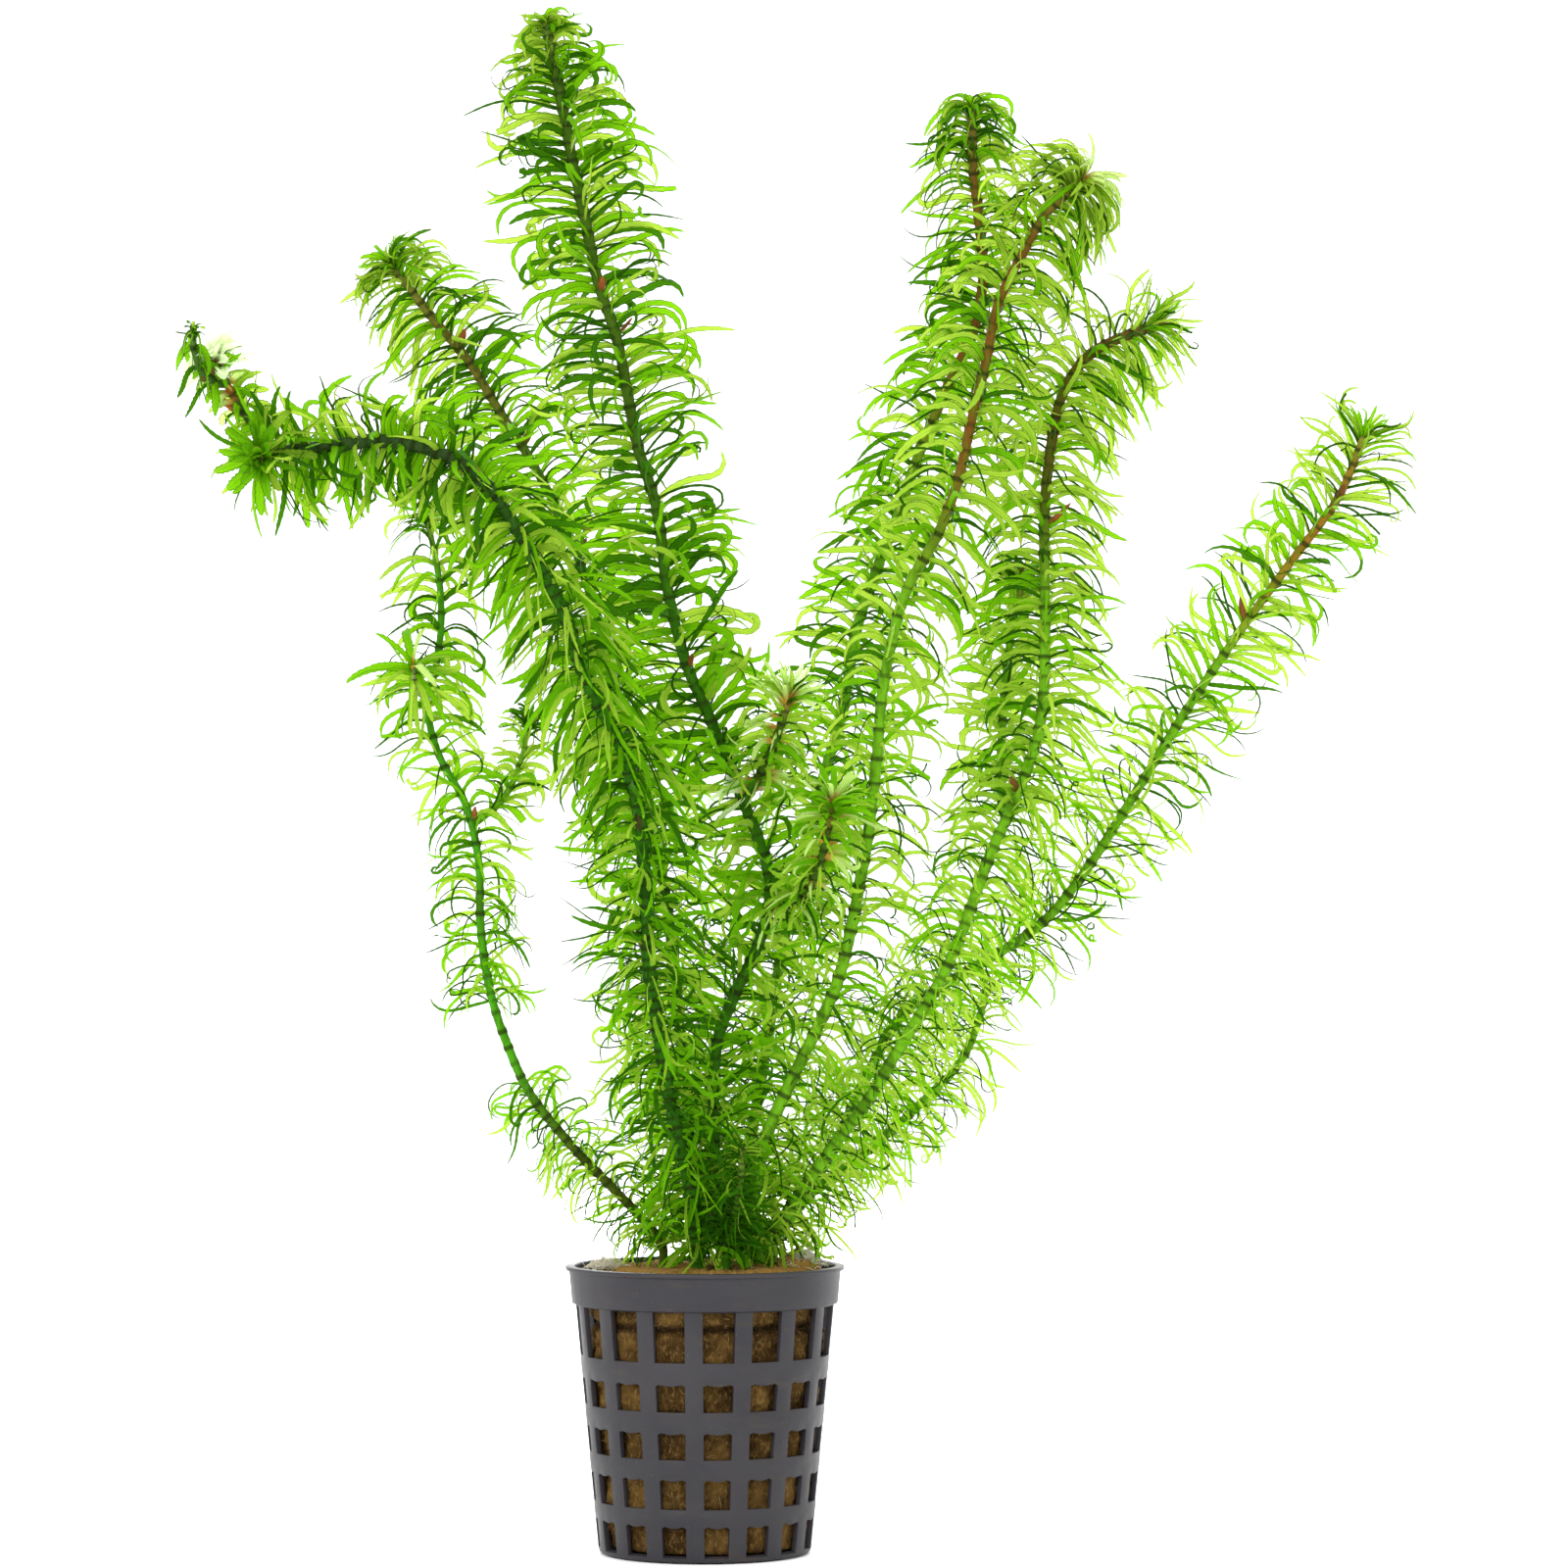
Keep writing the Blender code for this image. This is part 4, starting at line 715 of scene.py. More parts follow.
def plan_blades(shoot, path, whorls, rng):
    """Place the leaves: whorls of up to six, each turned by half a step, and a crown at the tip."""
    index = np.repeat(np.arange(len(whorls)), WHORL_LEAVES)
    corner = np.tile(np.arange(WHORL_LEAVES), len(whorls))
    angle = (corner + 0.5 * index) * math.tau / WHORL_LEAVES
    inner = (np.arange(shoot.crown) + 0.5) / max(shoot.crown, 1)
    angle = np.concatenate([angle, np.arange(shoot.crown) * GOLDEN_ANGLE])
    places = np.concatenate([whorls[index], path.length - shoot.crown_depth * (1.0 - inner)])
    crown = np.concatenate([np.zeros(len(index)), np.ones(shoot.crown)])
    inner = np.concatenate([np.zeros(len(index)), inner])
    count = len(places)
    calm = {habit: 1.0 - share * crown for habit, share in CROWN_CALM.items()}

    angle += rng.normal(0.0, math.radians(ANGLE_DISORDER), count)
    angle -= shoot.pressed * np.sin(2.0 * angle)
    places = places + rng.normal(0.0, PLACE_DISORDER, count) * (1 - crown)
    centre, along, side, across = path.at(places)
    outward = side * np.cos(angle)[:, None] + across * np.sin(angle)[:, None]
    youth = np.clip(1.0 - (path.length - places) / shoot.young, 0.0, 1.0)
    whole = rng.uniform(size=count) > BROKEN_SHARE
    cut = np.where(whole | (crown > 0), 1.0, rng.uniform(*BROKEN_LENGTH, count))
    tangle = np.zeros(count) if shoot.joined_at else tangled(centre[:, 2])
    upper = rise(places / path.length, shoot.turns_at - 0.10, shoot.turns_at + 0.05)

    # lengths and directions
    length = shoot.leaf * (1.0 + (shoot.upper_leaf - 1.0) * upper)
    length = length * (1.0 + (shoot.tip_leaf - 1.0) * youth)
    length = np.where(crown > 0, shoot.crown_leaf * (1.0 - shoot.crown_inner * inner), length)
    spread = shoot.spread + (shoot.tip_spread - shoot.spread) * youth ** 1.5
    crown_spread = shoot.crown_spread * (1.0 - CROWN_INNER_SPREAD * inner)
    spread = np.where(crown > 0, crown_spread, spread)
    curl = shoot.curl + (shoot.tip_curl - shoot.curl) * youth ** 0.7
    rising = rng.uniform(size=count) < shoot.rising_hooks + TANGLE_RISING_HOOKS * tangle
    hook_way = np.where(rising, -1.0, 1.0)
    rolled = rng.uniform(size=count) < ROLLED_SHARE + TANGLE_ROLLED_SHARE * tangle
    if shoot.crown_tone != "deep_blade":
        rolled &= crown < 1
    hanging = np.zeros(count)
    if shoot.hanging:
        hanging = HANGING_DROOP * np.interp(centre[:, 2], shoot.hanging, (0.0, 1.0, 1.0, 0.0))
    twist = rng.choice([-1.0, 1.0], count) * rng.uniform(*TWIST, count)

    # widths
    width = shoot.width * rng.normal(1.0, WIDTH_DISORDER, count)
    slim = np.where(crown > 0, shoot.crown_width, 1.0 - YOUNG_NARROWING * youth)
    width *= slim * (1.0 - TANGLE_NARROWING * tangle)
    width *= 1.0 + (shoot.upper_width - 1.0) * upper * (1.0 - crown)
    width *= 1.0 - HANGING_NARROWING * hanging
    pale = places < shoot.pale_foot
    width[pale] *= PALE_WIDENING
    least = ROLLED_WIDTH * (1.0 - TANGLE_ROLLED_NARROWING * tangle)
    width = np.where(rolled, np.maximum(ROLLED_NARROWING * width, least), width)

    # disorder
    spread_disorder = SPREAD_DISORDER + TANGLE_SPREAD_DISORDER * tangle
    curl_disorder = CURL_DISORDER + TANGLE_CURL_DISORDER * tangle + shoot.ruffle * upper
    hooks = shoot.hooks + TANGLE_HOOKS * tangle
    short = 1.0 - TANGLE_SHORTENING * tangle
    spread = spread + TANGLE_SPREAD * tangle
    blades = Blades(
        foot=centre + outward * shoot.stem * (0.8 - 0.4 * youth)[:, None],
        along=along,
        outward=outward,
        length=length * rng.normal(1.0, LENGTH_DISORDER, count) * cut * short,
        cut=cut,
        width=width,
        taper=rng.uniform(*TAPER, count) + CROWN_TAPER * crown,
        spread=np.radians(spread + rng.normal(0.0, spread_disorder) * calm["spread"]),
        curl=np.radians(curl + rng.normal(0.0, curl_disorder) * calm["curl"]),
        hook=np.radians(hook_way * rng.gamma(1.1, hooks)) * calm["hook"],
        droop=(shoot.droop + hanging) * rng.normal(1.0, DROOP_DISORDER, count) * calm["droop"],
        sway=rng.normal(0.0, SWAY_DISORDER + TANGLE_SWAY_DISORDER * tangle) * calm["sway"],
        wave=rng.uniform(0.0, math.tau, count),
        twist=np.radians(np.stack([twist, rng.normal(0.0, TWIST_DISORDER, count)], -1))
        * calm["twist"][:, None],
        fold=rng.uniform(*FOLD, count),
        youth=youth,
        slot=blade_slots(shoot, youth, inner, rolled, pale, rng),
    )
    kept = rng.uniform(size=count) > MISSING_SHARE
    if shoot.bare:
        kept &= (centre[:, 2] < shoot.bare[0]) | (centre[:, 2] > shoot.bare[1])
    for name, values in vars(blades).items():
        setattr(blades, name, values[kept])
    return blades


def blade_mesh(blades, rng):
    """Corners, faces and marks of toothed, channelled blades that bend, hang, hook and twist."""
    count = len(blades.length)
    rows = BLADE_ROWS
    places = np.zeros((count, rows, 3))
    heads = np.zeros((count, rows, 3))
    place = blades.foot.copy()
    sideways = np.cross(blades.along, blades.outward)
    for row in range(rows):
        t = row / (rows - 1)
        angle = blades.spread + blades.curl * t + blades.hook * rise(t, HOOK_STARTS, 1.0)
        angle = angle + WAVINESS * t * np.sin(WAVES * t + blades.wave)
        head = blades.along * np.cos(angle)[:, None] + blades.outward * np.sin(angle)[:, None]
        sag = SAG * blades.droop * rise(t, 0.0, 0.5)
        head = head + DOWN * sag[:, None] + sideways * (2 * blades.sway * t)[:, None]
        head = unit(head)
        places[:, row] = place
        heads[:, row] = head
        place = place + head * (blades.length / (rows - 1))[:, None]
    places = keep_inside(places)

    t = np.linspace(0.0, 1.0, rows)[None, :]
    turn = blades.twist[:, :1] * (1 - t) + (blades.twist[:, :1] + blades.twist[:, 1:]) * t
    side = unit(sideways[:, None] - heads * np.sum(sideways[:, None] * heads, -1, keepdims=True))
    side = turned(side, heads, turn)
    face = np.cross(heads, side)
    grown = t * blades.cut[:, None]
    foot_shape = 1.0 - NARROW_FOOT + NARROW_FOOT * rise(grown, 0.0, 0.14)
    outline = foot_shape * (1.0 - grown ** blades.taper[:, None]) ** 0.8 + POINT_WIDTH
    tooth = np.arange(rows) % 2 == 1
    teeth = 1.0 + TOOTH_DEPTH * np.where(tooth, 1.0, -0.6)[None, :]
    half = 0.5 * blades.width[:, None] * outline * teeth
    rake = np.where(tooth, TOOTH_RAKE, 0.0)[None, :] * (blades.length / rows)[:, None]
    lift = face * (half * blades.fold[:, None])[..., None]
    reach = side * (half * np.sqrt(1.0 - FOLD_NARROWING * blades.fold[:, None] ** 2))[..., None]
    forward = heads * rake[..., None]
    left = places - reach + lift + forward
    right = places + reach + lift + forward
    points = np.stack([left, places, right], axis=2)

    marks = np.ones((count, rows, 3, 4))
    marks[..., 0] = grown[..., None]
    marks[..., 1] = np.array((1.0, 0.0, 1.0))
    marks[..., 2] = rng.uniform(size=(count, 1, 1))
    marks[..., 3] = blades.youth[:, None, None]

    first = np.arange(count)[:, None, None] * rows * 3
    row = np.arange(rows - 1)[None, :, None] * 3
    half_side = np.arange(2)[None, None, :]
    low = first + row + half_side
    faces = np.stack([low, low + 1, low + 4, low + 3], axis=-1)
    return points.reshape(-1, 3), faces.reshape(-1, 4), marks.reshape(-1, 4)


def keep_inside(places):
    """Shorten the leaves that would reach out of the model's box."""
    low = (np.array(cad_box[0]) + BOX_MARGIN) / MM + BLADE_ROOM
    high = (np.array(cad_box[1]) - BOX_MARGIN) / MM - BLADE_ROOM
    foot = places[:, :1]
    reach = places - foot
    room = np.where(reach > 0, high - foot, low - foot)
    far = np.abs(reach) > 1e-6
    share = np.where(far, room / np.where(far, reach, 1.0), 9.0)
    share = np.clip(share.min(axis=(1, 2)), LEAST_LEAF, 1.0)
    return foot + reach * share[:, None, None]


def blade_slots(shoot, youth, inner, rolled, pale, rng):
    """Choose a finish for each leaf: rolled ones are dark with painted shade, young ones and crowns
    have their own.
    """
    names = list(TONES)
    count = len(youth)
    shares = np.array([shoot.tones.get(name, 0.0) for name in names])
    chosen = rng.choice(len(names), count, p=shares / shares.sum())
    tender = rng.uniform(size=count) < YOUNG_TONE_SHARE * youth ** 2
    chosen[tender] = names.index("young_blade")
    in_crown = (inner > 0) & (rng.uniform(size=count) < CROWN_TONE_SHARE)
    chosen[in_crown] = names.index(shoot.crown_tone)
    if shoot.crown_heart:
        chosen[inner > HEART_STARTS] = names.index(shoot.crown_heart)
    chosen[rolled] = names.index("rolled_shaded_blade")
    chosen[pale] = names.index("pale_blade")
    return chosen + 1


def make_shoot(shoot, blade_finishes, paths, rng):
    """A stem with all its leaves as one piece, in place of the plain solid."""
    path = Path(smooth_route(shoot))
    paths[shoot.node] = path
    whorls = whorl_places(shoot, path, rng)
    stem_points, stem_faces, stem_marks = stem_mesh(shoot, path, whorls, rng)
    blades = plan_blades(shoot, path, whorls, rng)
    points, faces, marks = blade_mesh(blades, rng)
    blade_faces = 2 * (BLADE_ROWS - 1)
    all_slots = np.concatenate([np.zeros(len(stem_faces)), np.repeat(blades.slot, blade_faces)])
    piece = mesh_piece(
        "leafy_" + shoot.node,
        np.vstack([stem_points, points]) * MM,
        np.vstack([stem_faces, faces + len(stem_points)]),
        [stem_finish(shoot), *blade_finishes],
        all_slots,
        np.vstack([stem_marks, marks]),
    )
    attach(piece, BODY)
    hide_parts(shoot.node)


# Buds on the stems: shoot, height, direction around the stem in degrees (0 is right, -90 is
# towards the front), degrees that it rises, length, radius, and how red it is
BUDS = [
    ("shoot_tall", 243.0, -80, 50, 2.6, 0.75, 0.7),
    ("shoot_tall", 234.5, -10, 35, 3.6, 0.35, 0.4),
    ("shoot_tall", 171.0, -60, 60, 2.4, 0.60, 0.5),
    ("shoot_tall", 89.5, 190, 55, 2.8, 0.70, 0.2),
    ("shoot_back_left", 237.5, 10, 60, 3.0, 0.75, 0.8),
    ("shoot_back_left", 218.0, -20, 50, 3.6, 0.70, 0.3),
    ("shoot_back_left", 195.0, -15, 60, 3.0, 0.65, 0.2),
    ("shoot_arching", 117.0, 200, 55, 3.0, 0.75, 0.3),
    ("shoot_arching", 160.5, -70, 65, 3.4, 0.80, 0.0),
    ("shoot_arching", 139.0, -110, 55, 3.2, 0.80, 0.0),
    ("shoot_right", 199.0, -15, 28, 5.4, 0.55, 0.9),
    ("shoot_right", 146.5, 230, 50, 3.0, 0.75, 0.3),
    ("sideshoot_right_back", 189.0, -60, 70, 3.0, 0.75, 1.0),
    ("shoot_far_right", 181.0, 200, 75, 4.0, 0.60, 0.5),
    ("shoot_far_right", 205.0, -60, 50, 3.0, 0.70, 0.4),
    ("shoot_low_left", 141.0, -20, 80, 2.2, 0.55, 0.6),
    ("sideshoot_arching_bud", 222.5, 200, 20, 1.6, 0.95, 0.1),
    ("sideshoot_arching_tip", 216.0, 180, 32, 9.5, 0.62, 1.0),
]
BUD_ROWS = 9
BUD_SIDES = 10
BUD_STAND = 0.6  # from the stem's middle to the foot of a bud, in millimetres
BUD_BEND = 0.25  # how far a bud bends up, as a share of its length
BUD_SCALES = 0.16  # how far its scales stand out, as a share of its radius
BUD_BROWN = (0.055, 0.045, 0.010)
BUD_RED = (0.300, 0.075, 0.015)
BUD_FOOT_GREEN = (0.045, 0.110, 0.008)
BUD_STREAK = (0.030, 0.016, 0.004)


def make_buds(paths, finish, rng):
    """Small pointed buds that sit in the leaf axils, as one piece."""
    points, faces, marks = [], [], []
    for node, height, around, rising, length, radius, red in BUDS:
        path = paths[node]
        near = int(np.argmin(np.abs(path.points[:, 2] - height)))
        foot = path.points[near]
        around, rising = math.radians(around), math.radians(rising)
        flat = np.array((math.cos(around), math.sin(around), 0.0))
        head = flat * math.cos(rising) + UP * math.sin(rising)
        side = unit(np.cross(head, UP))
        across = np.cross(head, side)
        first = sum(len(part) for part in points)
        rows = []
        for row in range(BUD_ROWS):
            t = row / (BUD_ROWS - 1)
            reach = radius * (math.sin(math.pi * min(1.0, 0.18 + 0.82 * t)) ** 0.7 + 0.02)
            centre = foot + flat * BUD_STAND + head * length * t + UP * BUD_BEND * length * t * t
            for corner in range(BUD_SIDES):
                angle = corner * math.tau / BUD_SIDES
                scaly = reach * (1.0 + BUD_SCALES * math.cos(3 * angle + 4.0 * t))
                rows.append(centre + (side * math.cos(angle) + across * math.sin(angle)) * scaly)
                marks.append((t, red, rng.uniform(), 1.0))
        points.append(np.array(rows))
        faces.append(tube_faces(BUD_ROWS, BUD_SIDES, first))
    piece = mesh_piece("axil_buds", np.vstack(points) * MM, np.vstack(faces), [finish], marks=marks)
    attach(piece, BODY)


def bud_finish():
    """Bud scales: brown to orange-red, with a greenish foot and dark streaks."""
    finish = Finish("bud_scales")
    place, red, _, _ = finish.marks()
    colour = finish.mix(red, BUD_BROWN, BUD_RED)
    foot = (1 - finish.smooth(place, 0.0, 0.45)) * 0.7
    colour = finish.mix(foot, colour, BUD_FOOT_GREEN)
    streaks = finish.smooth(finish.grain(1200.0, stretch=(1.0, 1.0, 0.25)), 0.45, 0.7)
    colour = finish.mix(streaks * 0.5, colour, BUD_STREAK)
    finish.set(Base_Color=colour, Roughness=0.4, Specular_IOR_Level=0.08)
    finish.bump(streaks, 0.3, 0.0002)
    return finish.material


# Finishes of the plant

# Surface colour, colour of the light that comes through, and share of that light
TONES = {
    "lime_blade": ((0.225, 0.415, 0.020), (0.4223, 0.6148, 0.0550), 0.68),
    "grass_blade": ((0.105, 0.320, 0.003), (0.2060, 0.4982, 0.0040), 0.64),
    "deep_blade": ((0.028, 0.120, 0.002), (0.05356, 0.1961, 0.0010), 0.58),
    "young_blade": ((0.190, 0.340, 0.020), (0.3090, 0.4876, 0.0300), 0.64),
    "fan_blade": ((0.460, 0.610, 0.170), (0.6180, 0.8268, 0.2400), 0.70),
    "pale_blade": ((0.700, 0.790, 0.520), (0.8652, 0.9752, 0.6600), 0.78),
    # painted shade: the dark finish of the narrow rolled leaves
    "rolled_shaded_blade": ((0.016, 0.070, 0.002), (0.0309, 0.1166, 0.0010), 0.45),
}
PALE_TONES = ("fan_blade", "pale_blade")
# Painted light: the surface of the leaves low on the plant is drawn lighter
LOW_PAINTED_LIGHT = (1.06, 1.12, 1.0)  # the surface of the lower leaves is lighter by these factors

# Where the parts of a leaf start and end: from its midrib to its edge for the first two, from
# its foot to its tip for the next three, and in metres above the ground for the last
MARGIN = (0.56, 0.84)
MIDRIB = (0.0, 0.20)
LEAF_FOOT = (0.0, 0.14)
RUSTY_FOOT = (0.08, 0.42)
WORN_TIP = (0.82, 1.0)
LOW_LEAVES = (0.100, 0.260)

WORN_CHANCE = (0.80, 1.0)  # the leaves whose tips have browned, by their chance mark
# Painted shade: the margins, the midrib and the foot of a leaf are drawn darker and let less light
# through
LINE_PAINTED_SHADE = 0.22  # darkness of the margins and the midrib
PALE_LINE_PAINTED_SHADE = 0.9
PATCH_SHADE = 1.5  # lightness of the pale patches
BROWN_TIP = (0.20, 0.11, 0.02)
RUST = (0.400, 0.170, 0.018)
YOUNG_STEM = (0.20, 0.24, 0.04)
DARK_NODE = (0.014, 0.022, 0.004)


def blade_finish(name):
    """A thin leaf: painted shade along its toothed margins, fainter along the midrib and at its
    foot; the lower leaves painted lighter; tips that brown a little.

    The pale ones are rusty at the foot.
    """
    surface, through, share = TONES[name]
    finish = Finish(name)
    place, edge, chance, _ = finish.marks()
    # painted shade along the margins, the midrib and the foot of the leaf
    painted_line_shade = PALE_LINE_PAINTED_SHADE if name == "pale_blade" else LINE_PAINTED_SHADE
    line = finish.smooth(edge, *MARGIN) * 0.95 + (1 - finish.smooth(edge, *MIDRIB)) * 0.55
    line = line + (1 - finish.smooth(place, *LEAF_FOOT)) * 0.5
    line = finish.smooth(line, 0.0, 1.0)
    colour = finish.mix(line, surface, scaled(surface, painted_line_shade))
    patches = finish.smooth(finish.grain(420.0), 0.35, 0.75)
    colour = finish.mix(patches * 0.35, colour, scaled(surface, PATCH_SHADE))
    # painted light: the leaves low on the plant are drawn lighter
    low = 1 - finish.smooth(finish.height(), *LOW_LEAVES)
    colour = finish.mix(low * 0.8, colour, tuple(a * b for a, b in zip(surface, LOW_PAINTED_LIGHT)))
    worn = finish.smooth(chance, *WORN_CHANCE) * finish.smooth(place, *WORN_TIP)
    colour = finish.mix(worn * 0.8, colour, BROWN_TIP)
    light_share = (1 - line * 0.75) * share
    if name in PALE_TONES:
        rust = 1 - finish.smooth(place, *RUSTY_FOOT)
        colour = finish.mix(rust * 0.9, colour, RUST)
        light_share = light_share * (1 - rust * 0.95)
    finish.set(Base_Color=colour, Roughness=0.45, Specular_IOR_Level=0.03)
    finish.bump(finish.grain(1500.0, stretch=(1.0, 1.0, 0.4)), 0.25, 0.0001)
    finish.glow(light_share * (1 - worn * 0.6), through)
    return finish.material


def stem_finish(shoot):
    """A stem that changes colour towards its tip, with dark nodes, mottling and fine streaks."""
    finish = Finish("stem_of_" + shoot.node)
    place, node, _, youth = finish.marks()
    change = finish.smooth(place, shoot.turns_at - 0.08, shoot.turns_at + 0.10)
    colour = finish.mix(change, shoot.stem_low, shoot.stem_top)
    colour = finish.mix(youth ** 2.0 * 0.6, colour, YOUNG_STEM)
    mottle = finish.smooth(finish.grain(330.0, stretch=(1.0, 1.0, 0.5)), 0.48, 0.66)
    mottle = mottle * (0.65 - 0.3 * change)
    colour = finish.mix(mottle, colour, scaled(shoot.stem_low, 0.25))
    streaks = finish.smooth(finish.grain(900.0, stretch=(1.0, 1.0, 0.12)), 0.4, 0.7)
    colour = finish.mix(streaks * 0.45, colour, scaled(shoot.stem_low, 0.5))
    colour = finish.mix(finish.smooth(node, 0.2, 0.8) * 0.85, colour, DARK_NODE)
    finish.set(Base_Color=colour, Roughness=0.38, Specular_IOR_Level=0.02)
    finish.bump(finish.grain(1100.0), 0.3, 0.0002)
    return finish.material


# The net pot, in millimetres

POT_HEIGHT = 55.3
LIP_RADIUS = 27.0
BAND_TOP_RADIUS = 26.3
BAND_EDGE_RADIUS = 25.8
BAND_BOTTOM = 48.2
BASKET_TOP = 47.8
BASKET_TOP_RADIUS = 25.0
BASKET_BOTTOM = 0.9
BASKET_BOTTOM_RADIUS = 20.6
FOOT_RADIUS = 19.9
WALL = 1.0
BAND_INNER_RADIUS = BAND_TOP_RADIUS - WALL
COLUMNS = 16
RIB_WIDTH = 3.45
FIRST_RIB_ANGLE = math.radians(-94.2)  # the rib nearest the front, seen from above
WINDOW_ROWS = [(0.9, 6.9), (10.2, 15.9), (19.7, 24.8), (28.8, 34.05), (38.2, 47.8)]
WINDOW_STEPS = (0.0, 0.35, 0.7, 1.0)  # shares of a window's height that have a row of corners
BASE_SLOT_OUTER = 17.0
BASE_SLOT_INNER = 8.0
RIB_CELLS = 2  # cells of the mesh across a rib
WINDOW_CELLS = 8  # and across a window
WAVE_DEPTH = 0.28  # how far the middle of a window's upper edge hangs down
WAVE_LIFT = 0.16  # how far it is raised towards its rounded corners
HOOP_WAVE = 0.12  # share of that wave in the middle of the hoop above
HOOP_BULGE = 0.06
EDGE_ROUNDING = 0.16
ROUNDED_ANGLE = math.radians(40)

# The flat base: radius, and whether the slots run from there to the next one
BASE_PROFILE = [
    (0.3, "plain"), (3.0, "plain"), (BASE_SLOT_INNER, "slots"), (12.5, "slots"),
    (BASE_SLOT_OUTER, "plain"),
]
# Its rounded rim, and further up the band and the lip: outer radius and height, then inner ones
RIM_PROFILE = [
    (FOOT_RADIUS - 0.5, 0.0, FOOT_RADIUS - 0.9, WALL),
    (FOOT_RADIUS + 0.15, 0.08, BASKET_BOTTOM_RADIUS - WALL - 0.25, WALL + 0.05),
    (FOOT_RADIUS + 0.5, 0.35, BASKET_BOTTOM_RADIUS - WALL - 0.05, WALL + 0.2),
]
BAND_PROFILE = [
    (25.35, 47.98, 24.15, 48.20),
    (25.70, 48.12, 24.40, 48.60),
    (BAND_EDGE_RADIUS, 48.55, 24.70, 49.40),
    (25.95, 50.40, 24.90, 50.60),
    (26.15, 52.60, 25.15, 52.60),
    (26.28, 54.20, BAND_INNER_RADIUS, 54.20),
    (26.55, 54.42, BAND_INNER_RADIUS, 54.42),
    (26.90, 54.50, BAND_INNER_RADIUS, 54.50),
    (LIP_RADIUS, 54.72, BAND_INNER_RADIUS, 54.72),
    (LIP_RADIUS, 55.05, BAND_INNER_RADIUS, 55.05),
    (26.86, 55.25, BAND_INNER_RADIUS + 0.06, 55.22),
    (26.60, POT_HEIGHT, BAND_INNER_RADIUS + 0.22, POT_HEIGHT),
]

POT_GREY = (0.0212, 0.0198, 0.0238)
POT_HAZE = (0.0295, 0.0275, 0.0315)
POT_WARM = (0.042, 0.032, 0.027)
POT_DUST = (0.16, 0.15, 0.15)


def basket_radius(height):
    """Outer radius of the tapering basket wall at a height, in millimetres."""
    share = (height - BASKET_BOTTOM) / (BASKET_TOP - BASKET_BOTTOM)
    return BASKET_BOTTOM_RADIUS + share * (BASKET_TOP_RADIUS - BASKET_BOTTOM_RADIUS)


def pot_rows():
    """Rows from the middle of the base up to the lip: outer and inner place, kind, wave."""
    rows = []

    def add(outer_radius, outer_height, inner_radius, inner_height, kind="plain", wave=0.0):
        rows.append((outer_radius, outer_height, inner_radius, inner_height, kind, wave))

    for radius, kind in BASE_PROFILE:
        add(radius, 0.0, radius, WALL, kind)
    for place in RIM_PROFILE:
        add(*place)
    for number, (bottom, top) in enumerate(WINDOW_ROWS):
        waves = number < len(WINDOW_ROWS) - 1
        for share in WINDOW_STEPS:
            height = bottom + share * (top - bottom)
            kind = "windows" if share < 1.0 else "plain"
            inside = max(height, WALL + 0.3) if number == 0 else height
            radius = basket_radius(height)
            add(radius, height, radius - WALL, inside, kind, share ** 3 if waves else 0.0)
        if waves:
            above = WINDOW_ROWS[number + 1][0]
            middle = (top + above) / 2
            radius = basket_radius(middle) + HOOP_BULGE
            add(radius, middle, radius - WALL - HOOP_BULGE, middle, "plain", HOOP_WAVE)
    for place in BAND_PROFILE:
        add(*place)
    return rows


def column_angles(radius):
    """Angles of the corners around the pot: those of each rib, then those of its window."""
    half = math.asin(RIB_WIDTH / 2 / radius)
    angles = []
    for column in range(COLUMNS):
        middle = FIRST_RIB_ANGLE + column * math.tau / COLUMNS
        for cell in range(RIB_CELLS):
            angles.append(middle - half + cell * 2 * half / RIB_CELLS)
        for cell in range(WINDOW_CELLS):
            span = math.tau / COLUMNS - 2 * half
            angles.append(middle + half + cell * span / WINDOW_CELLS)
    return np.array(angles)


def window_wave():
    """Height offsets along the upper edge of the windows: a wave between two rounded corners."""
    offsets = [0.0] * RIB_CELLS
    for cell in range(WINDOW_CELLS):
        across = abs(2.0 * cell / WINDOW_CELLS - 1.0)
        offset = WAVE_LIFT * across ** 2 - WAVE_DEPTH * math.cos(across * math.pi / 2) ** 2
        offsets.append(offset if cell else -WAVE_DEPTH)
    offsets[0] = -WAVE_DEPTH
    return np.tile(np.array(offsets), COLUMNS)


def open_cells(kind, cells):
    """Which cells between two rows are left open."""
    cell = np.arange(cells)
    column, part = np.divmod(cell, RIB_CELLS + WINDOW_CELLS)
    if kind == "windows":
        return part >= RIB_CELLS
    if kind == "slots":
        return column % 2 == 0
    return np.zeros(cells, dtype=bool)


